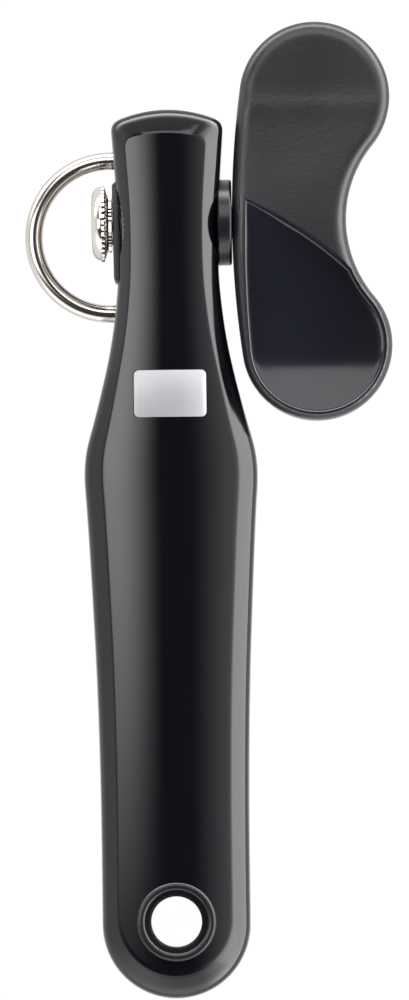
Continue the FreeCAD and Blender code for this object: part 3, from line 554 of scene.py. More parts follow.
class Loft:
    """Skin that grows ring by ring, each extruded from the last and moved to its place."""

    def __init__(self, stations: int) -> None:
        """Starts the skin with one ring.

        Args:
            stations: Number of points round every ring.
        """
        self.bm = bmesh.new()
        self.mark = self.bm.verts.layers.int.new("station")
        bmesh.ops.create_circle(self.bm, segments=stations, radius=1.0)
        self.bm.verts.ensure_lookup_table()
        for index, vert in enumerate(self.bm.verts):
            vert[self.mark] = index
        self.edges = list(self.bm.edges)
        self.placed = False

    def ring(self, place: Callable[[int], Vector]) -> Loft:
        """Adds one ring.

        Args:
            place: Gives the point of each station.

        Returns:
            The loft itself.
        """
        if self.placed:
            grown = bmesh.ops.extrude_edge_only(self.bm, edges=self.edges)["geom"]
            self.edges = [item for item in grown if isinstance(item, bmesh.types.BMEdge)]
            verts = {item for item in grown if isinstance(item, bmesh.types.BMVert)}
            self.edges = [edge for edge in self.edges if verts.issuperset(edge.verts)]
        else:
            verts = list(self.bm.verts)
        for vert in verts:
            vert.co = place(vert[self.mark])
        self.placed = True
        return self

    def closed(self) -> bmesh.types.BMesh:
        """Merges what meets, fills open ends and turns every face outwards.

        Returns:
            The closed skin.
        """
        bmesh.ops.remove_doubles(self.bm, verts=self.bm.verts, dist=MERGE)
        bmesh.ops.dissolve_degenerate(self.bm, dist=MERGE, edges=self.bm.edges)
        open_ends = [e for e in self.bm.edges if e.is_boundary]
        caps = bmesh.ops.holes_fill(self.bm, edges=open_ends, sides=0)["faces"]
        bmesh.ops.triangulate(self.bm, faces=caps)
        bmesh.ops.recalc_face_normals(self.bm, faces=self.bm.faces)
        return self.bm


def lathe(
    profile: Iterable[tuple[float, float]],
    centre: Vector,
    axis: Vector,
    steps: int,
    soft: float = 0.0,
) -> bmesh.types.BMesh:
    """Turns a profile into a closed ring or disc.

    Args:
        profile: Places along the axis and radii, in order; a bored piece comes back to
            its first point by itself, and a solid one starts and ends at radius nought.
        centre: Point on the axis where places along it are counted from.
        axis: Direction of the axis.
        steps: Facets in a full turn.
        soft: Width of the small round on every sharp edge, or nought.

    Returns:
        The turned mesh.
    """
    side = UPWARD if abs(axis.z) < 0.5 else ACROSS
    points = [centre + axis * along + side * radius for along, radius in profile]
    bm = bmesh.new()
    verts = [bm.verts.new(point) for point in points]
    edges = [bm.edges.new(pair) for pair in zip(verts, verts[1:])]
    if (points[0] - centre).cross(axis).length > MERGE:
        edges.append(bm.edges.new((verts[-1], verts[0])))
    bmesh.ops.spin(
        bm, geom=verts + edges, cent=centre, axis=axis, angle=math.tau, steps=steps, use_merge=True
    )
    bmesh.ops.remove_doubles(bm, verts=bm.verts, dist=MERGE)
    bmesh.ops.dissolve_degenerate(bm, dist=MERGE, edges=bm.edges)
    bmesh.ops.recalc_face_normals(bm, faces=bm.faces)
    if soft:
        soften(bm, soft)
    return bm


def soften(
    bm: bmesh.types.BMesh, width: float, segments: int = 2, from_degrees: float = 30.0
) -> None:
    """Rounds the sharp edges of a mesh a little.

    Args:
        bm: Mesh to change.
        width: Width of the round.
        segments: Facets across the round.
        from_degrees: Turn from which an edge counts as sharp.
    """
    limit = math.radians(from_degrees)
    sharp = [e for e in bm.edges if e.is_manifold and e.calc_face_angle() > limit]
    bmesh.ops.bevel(
        bm,
        geom=sharp,
        offset=width,
        segments=segments,
        profile=0.5,
        affect="EDGES",
        material=-1,
        clamp_overlap=True,
    )


def arc(
    middle: tuple[float, float], radius: float, start: float, end: float, steps: int
) -> list[tuple[float, float]]:
    """Points of a circular arc, both ends included.

    Args:
        middle: Centre of the arc.
        radius: Its radius.
        start: First angle, in degrees.
        end: Last angle, in degrees.
        steps: Number of chords.

    Returns:
        Points along the arc.
    """
    angles = [math.radians(start + (end - start) * step / steps) for step in range(steps + 1)]
    return [
        (middle[0] + radius * math.cos(angle), middle[1] + radius * math.sin(angle))
        for angle in angles
    ]


def through(knots: Sequence[tuple[float, float]], at: float) -> float:
    """Smooth curve through knots.

    Args:
        knots: Places and values, with the places in falling order.
        at: Place that is asked for.

    Returns:
        The curve's value there, held level past the ends.
    """
    if at >= knots[0][0]:
        return knots[0][1]
    if at <= knots[-1][0]:
        return knots[-1][1]
    index = next(i for i in range(len(knots) - 1) if knots[i + 1][0] <= at)
    slopes = []
    for knot in (index, index + 1):
        before, after = knots[max(knot - 1, 0)], knots[min(knot + 1, len(knots) - 1)]
        slopes.append((after[1] - before[1]) / (after[0] - before[0]))
    (first, low), (last, high) = knots[index], knots[index + 1]
    span = last - first
    t = (at - first) / span
    return (
        low * (1 + 2 * t) * (1 - t) ** 2
        + high * t * t * (3 - 2 * t)
        + slopes[0] * span * t * (1 - t) ** 2
        - slopes[1] * span * t * t * (1 - t)
    )


def upright_bar(
    centre: tuple[float, float], low: float, high: float, radius: float, steps: int = 64
) -> bmesh.types.BMesh:
    """Round bar that stands along Z.

    Args:
        centre: Where it stands.
        low: Height of its foot.
        high: Height of its top.
        radius: Its radius.
        steps: Facets round it.

    Returns:
        The bar.
    """
    bm = bmesh.new()
    place = Matrix.Translation((*centre, (low + high) / 2))
    bmesh.ops.create_cone(
        bm,
        cap_ends=True,
        segments=steps,
        radius1=radius,
        radius2=radius,
        depth=high - low,
        matrix=place,
    )
    return bm


def cross_bar(start: Vector, length: float, radius: float, steps: int = 64) -> bmesh.types.BMesh:
    """Round bar along +U.

    Args:
        start: Middle of its first end.
        length: Its length.
        radius: Its radius.
        steps: Facets round it.

    Returns:
        The bar.
    """
    bm = bmesh.new()
    place = Matrix.Translation(start + Vector((length / 2, 0, 0))) @ Matrix.Rotation(
        math.pi / 2, 4, "Y"
    )
    bmesh.ops.create_cone(
        bm,
        cap_ends=True,
        segments=steps,
        radius1=radius,
        radius2=radius,
        depth=length,
        matrix=place,
    )
    return bm


def slab(low: tuple[float, float, float], high: tuple[float, float, float]) -> bmesh.types.BMesh:
    """Upright block between two corners.

    Args:
        low: Its lowest corner.
        high: Its highest corner.

    Returns:
        The block.
    """
    bm = bmesh.new()
    start, end = Vector(low), Vector(high)
    size = end - start
    place = Matrix.Translation((start + end) / 2) @ Matrix.Diagonal((*size, 1.0))
    bmesh.ops.create_cube(bm, size=1.0, matrix=place)
    return bm


# ---------------------------------------------------------------- handle


class Level(Enum):
    """What the height of a ring of the handle is counted from."""

    BACK = "the back face"
    WALL = "the top of the side wall"
    CREASE = "the crease round the crowned panel"
    PANEL = "the crowned panel itself"


@dataclass(frozen=True)
class Ring:
    """One ring of the handle's skin.

    Attributes:
        inward: Place from the outline, nought, over the crease, one, to the spine, two.
        level: What its height is counted from.
        lift: Height above that.
    """

    inward: float
    level: Level
    lift: float


@dataclass(frozen=True)
class Outline:
    """Closed line seen from the front, drawn from the head's middle round to the tail's.

    Attributes:
        rise: Top of the head.
        crown: Fall of the top edge from its middle to its corners.
        corner_in: Width of the corner's round.
        corner_down: Height of the corner's round.
        tail: V of the tail's centre.
        inset: V and how far the sides lie inside the handle's outline there.
        shift: How far the line lies to the left in the neck.
    """

    rise: float
    crown: float
    corner_in: float
    corner_down: float
    tail: float
    inset: tuple[tuple[float, float], ...] = ((0.0, 0.0), (-1.0, 0.0))
    shift: tuple[tuple[float, float], ...] = ((0.0, 0.0), (-1.0, 0.0))


@dataclass
class HandleMoulding:
    """The two shells of the handle, the eyelet and the badge.

    Attributes:
        shop: Where the pieces are finished.
        side_widths: V and half width along the handle's side.
        fullness: Width added all along for the draft of the walls.
        outer: The handle's outline.
        crease: The line where the crowned panel meets the rolled edge.
        band: Width of the rolled edge, as drawn before it is fitted between the lines.
        head_high: Height of the front at the top of the head.
        head_top: V of the top of the head.
        front_fall: Slope of the front towards the tail, in degrees.
        panel_edge: Slope of the crowned panel at its crease on the grip, in degrees.
        grip_panel: Half width of the panel where it has that slope.
        neck_ease: How fast the slope eases where the panel is narrower.
        roll_slope: Slope of the rolled edge next to the crease, in degrees.
        roll_radius: Radius that turns the rolled edge into the side wall.
        lean: How far the side wall leans in towards its top.
        wall: Wall thickness.
        seam: Half the gap between the shells.
        groove: Height and depth of the shadow groove on either side of the seam.
        back_round: Radius between the side wall and the back.
        eye: V of the hanging hole.
        eyelet_seat: Radius of the eyelet's seat in the shells.
        plate_window: Two corners of the window for the bearing plate.
        leg_holes: V of the two holes for the bow's legs, and their radius.
        eccentric_hole: U where the eccentric's hole starts, and its radius.
        collar_seat: U where the collar's seat starts, and its radius.
        screw_drops: How far below the spindle the housing screws sit.
        badge_at: V of the badge's middle.
        badge_size: Width, height and corner radius of the badge.
        badge_gap: Gap round the badge.
    """

    shop: Workshop
    side_widths: tuple[tuple[float, float], ...] = (
        (20.2, 11.9),
        (13.3, 11.4),
        (5.0, 10.85),
        (-3.0, 10.6),
        (-12.0, 10.75),
        (-20.0, 11.5),
        (-26.0, 12.4),
        (-31.4, 13.5),
        (-38.3, 15.2),
        (-43.5, 16.6),
        (-48.0, 17.85),
        (-51.5, 18.4),
        (-55.5, 18.5),
        (-61.0, 18.15),
        (-68.0, 17.75),
        (-81.3, 17.1),
        (-95.1, 16.5),
        (-108.9, 16.1),
        (-125.0, 15.85),
        (-150.7, 15.8),
    )
    fullness: float = 0.25
    outer: Outline = Outline(24.4, 1.7, 2.6, 2.9, -150.9)
    crease: Outline = Outline(
        19.2,
        0.6,
        2.6,
        2.5,
        -149.3,
        ((10.0, 3.1), (-30.0, 3.1), (-52.0, 3.9), (-150.0, 3.7)),
        ((-10.0, 0.4), (-60.0, 0.15), (-150.0, 0.3)),
    )
    band: float = 3.5
    head_high: float = 33.0
    head_top: float = 24.5
    front_fall: float = 3.3
    panel_edge: float = 22.0
    grip_panel: float = 14.0
    neck_ease: float = 0.42
    roll_slope: float = 36.0
    roll_radius: float = 3.2
    lean: float = 0.15
    wall: float = 2.2
    seam: float = 0.02
    groove: tuple[float, float] = (0.22, 0.07)
    back_round: float = 1.9
    eye: float = -150.3
    eyelet_seat: float = 6.85
    plate_window: tuple[tuple[float, float, float], tuple[float, float, float]] = (
        (-20.0, -13.0, 1.9), (-8.0, 9.2, 26.7)
    )
    leg_holes: tuple[float, float, float] = (13.95, -19.05, 2.12)
    eccentric_hole: tuple[float, float] = (9.0, 6.4)
    collar_seat: tuple[float, float] = (10.64, 10.95)
    screw_drops: tuple[float, float, float] = (34.0, 84.0, 134.0)
    badge_at: float = -36.8
    badge_size: tuple[float, float, float] = (15.6, 10.1, 1.0)
    badge_gap: float = 0.15

    def __post_init__(self) -> None:
        """Draws the two lines that every ring lies between."""
        self.edge = self._closed_line(self.outer)
        self.fold = self._closed_line(self.crease)
        head_end = self.crease.rise - self.half_width(self.crease.rise) + self.band
        self.spine = [
            Vector((0.0, min(max(point.y, self.crease.tail), head_end))) for point in self.fold
        ]

    def half_width(self, v: float) -> float:
        """Half width of the handle at a place along it."""
        return self.fullness + through(self.side_widths, v)

    def ridge(self, v: float) -> float:
        """Height of the front's middle line."""
        return self.head_high - (self.head_top - v) * math.tan(math.radians(self.front_fall))

    def panel(self, u: float, v: float) -> float:
        """Height of the crowned panel.

        Args:
            u: Place across the handle.
            v: Place along it.

        Returns:
            The panel's height above the back face.
        """
        half = self.half_width(v) - self.band
        ease = (half / self.grip_panel) ** self.neck_ease
        radius = half / math.sin(math.radians(self.panel_edge * ease))
        return self.ridge(v) - radius + math.sqrt(max(radius**2 - u**2, 0.0))

    def _closed_line(self, line: Outline) -> list[Vector]:
        """Draws an outline.

        Args:
            line: Its sizes.

        Returns:
            Points once round, from the head's middle down the right side.
        """
        top_steps, corner_steps, side_steps, tail_steps = 10, 10, 112, 20
        corner_high = line.rise - line.crown - line.corner_down
        wide = self.half_width(corner_high) - through(line.inset, corner_high)
        reach = wide - line.corner_in
        right = [
            Vector((reach * step / top_steps, line.rise - line.crown * (step / top_steps) ** 2))
            for step in range(top_steps)
        ]
        start, end = Vector((reach, line.rise - line.crown)), Vector((wide, corner_high))
        way = Vector((reach, -2 * line.crown)).normalized()
        pull = 0.6
        right += [
            Vector(point)
            for point in interpolate_bezier(
                start,
                start + way * line.corner_in * pull,
                end + Vector((0, line.corner_down * pull)),
                end,
                corner_steps + 1,
            )[:-1]
        ]
        for step in range(side_steps):
            v = corner_high + (line.tail - corner_high) * step / side_steps
            right.append(Vector((self.half_width(v) - through(line.inset, v), v)))
        tail = self.half_width(line.tail) - through(line.inset, line.tail)
        right += [Vector(point) for point in arc((0.0, line.tail), tail, 0.0, -90.0, tail_steps)]
        left = [Vector((-point.x, point.y)) for point in reversed(right[1:-1])]
        return [Vector((point.x - through(line.shift, point.y), point.y)) for point in right + left]

    def roll(self, steps: int = 7) -> list[tuple[float, float]]:
        """Section of the rolled edge, from the side wall up to the crease.

        Args:
            steps: Facets in the turn from the wall.

        Returns:
            Places inward, as a share of the edge's width, and heights above the wall.
        """
        width = self.band - self.lean
        turn = 90.0 - self.roll_slope
        rolled = [
            (self.roll_radius - x, z)
            for x, z in arc((0.0, 0.0), self.roll_radius, 0.0, turn, steps)
        ]
        inner, high = rolled[-1]
        rise = math.tan(math.radians(self.roll_slope))
        for share in (0.3, 0.6, 0.88, 1.0):
            reach = (width - inner) * share
            rolled.append((inner + reach, high + reach * rise))
        start = self.lean / self.band
        return [(start + (1 - start) * x / width, z) for x, z in rolled]

    def place(self, ring: Ring) -> Callable[[int], Vector]:
        """Finds where a ring's points lie.

        Args:
            ring: The ring.

        Returns:
            Function that gives each station's point.
        """
        wall_drop = self.roll()[-1][1]

        def at(station: int) -> Vector:
            """Finds the point of one station.

            Args:
                station: Number of the station round the ring.

            Returns:
                The point.
            """
            if ring.inward <= 1:
                flat = self.edge[station].lerp(self.fold[station], ring.inward)
            else:
                flat = self.fold[station].lerp(self.spine[station], ring.inward - 1)
            fold = self.fold[station]
            base = {
                Level.BACK: lambda: 0.0,
                Level.CREASE: lambda: self.panel(fold.x, fold.y),
                Level.WALL: lambda: self.panel(fold.x, fold.y) - wall_drop,
                Level.PANEL: lambda: self.panel(flat.x, flat.y),
            }[ring.level]()
            return Vector((flat.x, flat.y, base + ring.lift))

        return at

    def skin(self, rings: Iterable[Ring]) -> bmesh.types.BMesh:
        """Lofts a closed skin through rings.

        Args:
            rings: The rings in order.

        Returns:
            The skin.
        """
        loft = Loft(len(self.edge))
        for ring in rings:
            loft.ring(self.place(ring))
        return loft.closed()

    def build(self) -> None:
        """Makes every piece of the handle."""
        self._front_shell()
        self._back_shell()
        self._eyelet()
        self._badge()

    def _side_tools(self) -> list[bmesh.types.BMesh]:
        """Draws the window and the holes through the left wall.

        Returns:
            Tools to cut from either shell.
        """
        outside, length = -20.0, 14.0
        upper, lower, radius = self.leg_holes
        tools = [slab(*self.plate_window)]
        for rise in (upper, lower):
            start = Vector((outside, rise, self.shop.datum.wire_high))
            tools.append(cross_bar(start, length, radius))
        return tools

    def _front_shell(self) -> None:
        """Front shell: crowned panel, rolled edge and side wall down to the parting."""
        datum = self.shop.datum
        parting = datum.parting
        groove, groove_in = self.groove
        thick = self.wall / self.band
        rings = [Ring(2.0, Level.PANEL, -self.wall)]
        rings += [Ring(inward, Level.PANEL, -self.wall) for inward in (1.6, 1.2)]
        rings += [
            Ring(1.0, Level.CREASE, -self.wall),
            Ring(thick, Level.WALL, 0.0),
            Ring(thick, Level.BACK, parting + self.seam),
            Ring(groove_in, Level.BACK, parting + self.seam),
            Ring(0.0, Level.BACK, parting + groove),
            Ring(0.01, Level.BACK, parting + groove + 0.8),
            Ring(0.5 * self.lean / self.band, Level.WALL, -2.0),
        ]
        rings += [Ring(inward, Level.WALL, lift) for inward, lift in self.roll()[:-1]]
        rings.append(Ring(1.0, Level.CREASE, -0.03))
        rings += [Ring(1 + share / 14, Level.PANEL, 0.0) for share in (0.35, *range(1, 15))]
        above, past = 40.0, 10.0
        (hole_out, hole), (seat_out, seat) = self.eccentric_hole, self.collar_seat
        tools = [
            upright_bar((0.0, self.eye), 0.0, above, self.eyelet_seat, 96),
            cross_bar(Vector((hole_out, 0.0, datum.eccentric_high)), past, hole),
            cross_bar(Vector((seat_out, 0.0, datum.eccentric_high)), past, seat, 128),
            self._badge_blank(2 * self.badge_gap, 0.1, -0.75, 8.0),
            *self._side_tools(),
        ]
        shell = self.shop.carve(self.skin(rings), tools)
        self.shop.piece(
            "front_shell_moulding", shell, HANDLE_ABS, "handle", "black_moulding", ["front_shell"]
        )

    def _back_shell(self) -> None:
        """Back shell: side wall below the parting and the flat back with its screw holes."""
        parting = self.shop.datum.parting
        groove, groove_in = self.groove
        thick, radius = self.wall / self.band, self.back_round
        rounded = [
            ((radius + x) / self.band, radius + z)
            for x, z in arc((0.0, 0.0), radius, 180.0, 270.0, 6)
        ]
        rings = [
            Ring(2.0, Level.BACK, self.wall),
            Ring(thick, Level.BACK, self.wall),
            Ring(thick, Level.BACK, parting - self.seam),
            Ring(groove_in, Level.BACK, parting - self.seam),
            Ring(0.0, Level.BACK, parting - groove),
            Ring(0.01, Level.BACK, parting - groove - 0.8),
        ]
        rings += [Ring(inward, Level.BACK, high) for inward, high in rounded]
        rings += [Ring(inward, Level.BACK, 0.0) for inward in (1.3, 1.7, 2.0)]
        tools = [upright_bar((0.0, self.eye), -5.0, 20.0, self.eyelet_seat, 96)]
        tools += self._side_tools()
        screw_hole = [(-1.0, 0.0), (-1.0, 3.6), (0.0, 3.6), (0.5, 3.1), (4.0, 3.1), (4.0, 0.0)]
        for drop in self.screw_drops:
            centre = Vector((0.0, -drop, 0.0))
            tools.append(lathe(screw_hole, centre, UPWARD, 64))
        shell = self.shop.carve(self.skin(rings), tools)
        self.shop.piece(
            "back_shell_moulding", shell, HANDLE_ABS, "handle", "black_moulding", ["back_shell"]
        )

    def _eyelet(self) -> None:
        """Ring that lines the hanging hole, with its rolled lip."""
        low, bore, tube, lip, dip = 0.5, 5.45, 6.75, 8.55, 6.7
        half, rise = (lip - dip) / 2, 0.75
        crest = 23.7 - rise
        ledge = crest - 1.5
        profile = [(low, bore), (ledge - 0.4, bore), (ledge, bore + 0.4), (ledge, dip)]
        profile += [
            (crest + rise * z, lip - half + half * r)
            for r, z in arc((0.0, 0.0), 1.0, 180.0, 0.0, 16)
        ]
        under = crest - 1.6
        profile += [(under, lip), (under, tube), (low, tube)]
        ring = lathe(profile, Vector((0.0, self.eye, 0.0)), UPWARD, 120)
        self.shop.piece(
            "eyelet_ring",
            ring,
            SMALL_ACETAL,
            "handle",
            "black_moulding_satin",
            ["hanging_eyelet"],
            40.0,
        )

    def _badge_blank(
        self, wider: float, rounder: float, low: float, high: float
    ) -> bmesh.types.BMesh:
        """Rounded plate that follows the crowned panel.

        Args:
            wider: Width and height that it has over the badge's own.
            rounder: Corner radius that it has over the badge's own.
            low: Underside, counted from the panel.
            high: Upper side, counted from the panel.

        Returns:
            The plate.
        """
        bm = bmesh.new()
        wide, tall, corner = self.badge_size
        wide, tall, corner = wide + wider, tall + wider, corner + rounder
        frame = Matrix.Translation((0.0, self.badge_at, 0.0)) @ Matrix.Diagonal(
            (wide, tall, 1.0, 1.0)
        )
        bmesh.ops.create_grid(bm, x_segments=1, y_segments=1, size=0.5, matrix=frame)
        bmesh.ops.bevel(
            bm,
            geom=list(bm.verts),
            offset=corner * 1.1,
            segments=5,
            profile=0.5,
            affect="VERTICES",
            material=-1,
        )
        strips = 24
        for strip in range(1, strips):
            bmesh.ops.bisect_plane(
                bm,
                geom=[*bm.verts, *bm.edges, *bm.faces],
                plane_co=(wide * (strip / strips - 0.5), 0.0, 0.0),
                plane_no=(1.0, 0.0, 0.0),
            )
        grown = bmesh.ops.extrude_face_region(bm, geom=list(bm.faces))["geom"]
        upper = {item for item in grown if isinstance(item, bmesh.types.BMVert)}
        for vert in bm.verts:
            vert.co.z = self.panel(vert.co.x, vert.co.y) + (high if vert in upper else low)
        bmesh.ops.recalc_face_normals(bm, faces=bm.faces)
        return bm

    def _badge(self) -> None:
        """Plain brushed plate let into the neck."""
        plate = self._badge_blank(0.0, 0.0, -0.65, 0.0)
        soften(plate, 0.12, 2, 50.0)
        self.shop.piece("badge_foil", plate, BADGE_FOIL, "handle", "brushed_badge", ["badge_plate"])


# ---------------------------------------------------------------- bow, plate and cutter


@dataclass
class GuideBow:
    """Bent wire bow on the left flank.

    Attributes:
        shop: Where the piece is finished.
        wire: Wire radius.
        bend: Radius of the bend at the wire's middle.
        centre_out: U of the bend's centre.
        centre_drop: V of the bend's centre.
        leg_end: U of the legs' ends inside the head.
    """

    shop: Workshop
    wire: float = 1.92
    bend: float = 16.5
    centre_out: float = -12.5
    centre_drop: float = -2.55
    leg_end: float = -1.4

    def build(self) -> None:
        """Bends the wire and gives it its two legs."""
        centre = Vector((self.centre_out, self.centre_drop, self.shop.datum.wire_high))
        bm = bmesh.new()
        section = Matrix.Translation(centre + Vector((0, self.bend, 0))) @ Matrix.Rotation(
            math.pi / 2, 4, "Y"
        )
        bmesh.ops.create_circle(bm, segments=40, radius=self.wire, matrix=section)
        first = list(bm.edges)
        bent = bmesh.ops.spin(
            bm, geom=first, cent=centre, axis=(0, 0, 1), angle=math.pi, steps=72, use_merge=False
        )["geom_last"]
        last = [item for item in bent if isinstance(item, bmesh.types.BMEdge)]
        for end in (first, last):
            self._leg(bm, end)
        bmesh.ops.holes_fill(bm, edges=[e for e in bm.edges if e.is_boundary], sides=0)
        bmesh.ops.recalc_face_normals(bm, faces=bm.faces)
        self.shop.piece("bow_wire", bm, BOW_STAINLESS, "handle", "polished_wire", ["guide_bow"])

    def _leg(self, bm: bmesh.types.BMesh, end: list[bmesh.types.BMEdge]) -> None:
        """Draws one straight leg out of the bend's end.

        Args:
            bm: The wire.
            end: Edges round that end of the bend.
        """
        length = self.leg_end - self.centre_out
        chamfer = 0.5
        for step, shrink in ((length - chamfer, 1.0), (chamfer, 1 - chamfer / self.wire)):
            grown = bmesh.ops.extrude_edge_only(bm, edges=end)["geom"]
            verts = [item for item in grown if isinstance(item, bmesh.types.BMVert)]
            kept = set(verts)
            end = [
                item
                for item in grown
                if isinstance(item, bmesh.types.BMEdge) and set(item.verts) <= kept
            ]
            middle = sum((vert.co for vert in verts), Vector()) / len(verts)
            for vert in verts:
                vert.co = middle + (vert.co - middle) * shrink + Vector((step, 0, 0))


@dataclass
class CuttingSide:
    """Bearing plate, cutting wheel and its axle on the left flank.

    Attributes:
        shop: Where the pieces are finished.
        plate_v: Lower and upper end of the plate.
        plate_z: Lower and upper side of the plate.
        plate_inner: U of the plate's inner face.
        plate_outer: U of the plate's outer face at its lower and upper end.
        bores: Radii of the eccentric's bore, its wider rear part and the axle's hole.
    """

    shop: Workshop
    plate_v: tuple[float, float] = (-12.8, 9.0)
    plate_z: tuple[float, float] = (2.1, 26.5)
    plate_inner: float = -8.35
    plate_outer: tuple[float, float] = (-11.75, -12.0)
    bores: tuple[float, float, float] = (6.4, 7.6, 2.02)

    def build(self) -> None:
        """Makes the pieces."""
        self._plate()
        self._cutter()
        self._axle()

    def _plate(self) -> None:
        """Black plate with cut corners and the bore for the eccentric."""
        low_v, high_v = self.plate_v
        low_z, high_z = self.plate_z
        blank = slab((min(self.plate_outer), low_v, low_z), (self.plate_inner, high_v, high_z))
        inner_side = (max(self.plate_outer) + self.plate_inner) / 2
        for vert in blank.verts:
            if vert.co.x < inner_side and vert.co.y < 0:
                vert.co.x = self.plate_outer[0]
        front = [
            e
            for e in blank.edges
            if all(v.co.x < inner_side for v in e.verts)
            and abs(e.verts[0].co.y - e.verts[1].co.y) < MERGE
        ]
        bmesh.ops.bevel(
            blank, geom=front, offset=0.75, segments=1, profile=0.5, affect="EDGES", material=-1
        )
        soften(blank, 0.35, 3)
        high = self.shop.datum.eccentric_high
        outside, rear = -20.0, -10.5
        bore, rear_bore, axle_hole = self.bores
        tools = [
            cross_bar(Vector((outside, 0.0, high)), 20.0, bore, 96),
            cross_bar(Vector((rear, 0.0, high)), 10.0, rear_bore, 96),
            cross_bar(self._centre() + Vector((outside, 0.0, 0.0)), 20.0, axle_hole, 48),
        ]
        self.shop.piece(
            "flank_plate",
            self.shop.carve(blank, tools),
            PLATE_NYLON,
            "handle",
            "black_plate",
            ["bearing_plate"],
        )

    def _centre(self) -> Vector:
        """Point on the cutter's axis in the handle's middle plane."""
        return Vector((0.0, self.shop.datum.cutter_rise, self.shop.datum.cutter_high))

    def _cutter(self) -> None:
        """Cutting wheel with its ground bevel."""
        profile = [
            (-14.9, 2.05),
            (-14.9, 3.1),
            (-14.75, 3.3),
            (-13.78, 4.78),
            (-13.72, 4.78),
            (-13.3, 4.35),
            (-13.3, 2.05),
        ]
        wheel = lathe(profile, self._centre(), ACROSS, 128)
        self.shop.piece(
            "cutter_disc", wheel, CUTTER_STEEL, "cutter", "hardened_steel", ["cutting_wheel"], 25.0
        )

    def _axle(self) -> None:
        """Riveted axle with a domed head."""
        head = [(-16.05 + 0.95 * (r / 3.2) ** 3, r) for r in (0.0, 0.8, 1.6, 2.2, 2.7, 3.05, 3.2)]
        profile = head + [(-15.1, 2.95), (-15.1, 2.0), (-6.8, 2.0), (-6.8, 2.45), (-5.9, 2.0)]
        axle = lathe(profile + [(-5.9, 0.0)], self._centre(), ACROSS, 96)
        self.shop.piece(
            "cutter_rivet", axle, TURNED_STEEL, "handle", "turned_steel", ["cutter_axle"], 40.0
        )


# ---------------------------------------------------------------- drive


@dataclass
class FeedDrive:
    """Feed wheel, knurled ring and the eccentric's collar on the spindle's axis.

    Attributes:
        shop: Where the pieces are finished.
        teeth: Teeth of the feed wheel.
        tooth_depth: Depth of a tooth gap.
        knurls: Knurls of the ring.
        knurl_depth: Depth of a knurl.
    """

    shop: Workshop
    teeth: int = 42
    tooth_depth: float = 0.34
    knurls: int = 46
    knurl_depth: float = 0.22

    def build(self) -> None:
        """Makes the pieces."""
        self._feed_wheel()
        self._knurled_ring()
        self._eccentric()

    def _centre(self) -> Vector:
        """Point on the spindle's axis in the handle's middle plane."""
        return Vector((0.0, 0.0, self.shop.datum.spindle_high))

    def _notch(self, bm: bmesh.types.BMesh, count: int, from_radius: float, depth: float) -> None:
        """Presses V notches into a rim, one for every second pair of facets.

        Args:
            bm: Turned mesh with four facets to a notch.
            count: Number of notches.
            from_radius: Only points farther out than this move.
            depth: Depth of a notch.
        """
        centre = self._centre()
        pressed = (0.0, 0.55, 1.0, 0.55)
        for vert in bm.verts:
            arm = Vector((0.0, vert.co.y - centre.y, vert.co.z - centre.z))
            if arm.length < from_radius:
                continue
            step = round(math.atan2(arm.y, arm.z) / math.tau * count * len(pressed))
            vert.co -= arm.normalized() * depth * pressed[step % len(pressed)]

    def _feed_wheel(self) -> None:
        """Domed feed wheel with its toothed band and hollow cone behind."""
        flat, nose, edge, rim = 5.6, -16.6, -14.4, 8.0
        dome = [(nose + 0.12 * (share * share), flat * share) for share in (0.0, 0.35, 0.7)]
        dome += [
            (edge + (nose + 0.12 - edge) * math.cos(turn), flat + (rim - flat) * math.sin(turn))
            for turn in (math.radians(9.0 * step) for step in range(11))
        ]
        profile = dome + [
            (-14.25, 8.25),
            (-13.75, 8.25),
            (-13.62, 7.95),
            (-12.92, 5.75),
            (-12.9, 2.52),
            (-14.8, 2.52),
            (-14.8, 0.0),
        ]
        wheel = lathe(profile, self._centre(), ACROSS, self.teeth * 4)
        self._notch(wheel, self.teeth, 8.15, self.tooth_depth)
        self.shop.piece(
            "feed_wheel_disc", wheel, WHEEL_NICKEL, "drive", "polished_steel", ["feed_wheel"], 28.0
        )

    def _knurled_ring(self) -> None:
        """Fine-knurled ring behind the wheel."""
        profile = [
            (-12.9, 2.52),
            (-12.9, 5.8),
            (-12.78, 6.15),
            (-12.17, 6.15),
            (-12.05, 5.8),
            (-12.05, 2.52),
        ]
        ring = lathe(profile, self._centre(), ACROSS, self.knurls * 4)
        self._notch(ring, self.knurls, 6.0, self.knurl_depth)
        self.shop.piece(
            "knurled_band", ring, WHEEL_NICKEL, "drive", "polished_steel", ["knurled_ring"], 28.0
        )

    def _eccentric(self) -> None:
        """Eccentric bush: its bearing in the head and its collar beside the knob."""
        spindle, bearing = self._centre(), self._centre()
        bearing.z = self.shop.datum.eccentric_high
        round_at, corner, end = 13.1, 0.6, 13.72
        collar = [(10.68, 3.56), (10.68, 8.95), (10.98, 9.25)]
        collar += [
            (round_at + z, 9.25 - corner + r) for r, z in arc((0.0, 0.0), corner, 0.0, 90.0, 6)
        ]
        collar += [(end, 8.3), (end, 3.56)]
        bm = lathe(collar, spindle, ACROSS, 144)
        core = [(-11.25, 4.6), (-11.25, 5.8), (-11.05, 6.0), (10.9, 6.0), (10.9, 4.6)]
        tube = lathe(core, bearing, ACROSS, 96)
        mesh = bpy.data.meshes.new("bearing_core")
        tube.to_mesh(mesh)
        tube.free()
        bm.from_mesh(mesh)
        bpy.data.meshes.remove(mesh)
        self.shop.piece(
            "eccentric_collar",
            bm,
            SMALL_ACETAL,
            "eccentric",
            "black_moulding_satin",
            ["eccentric_bush"],
        )


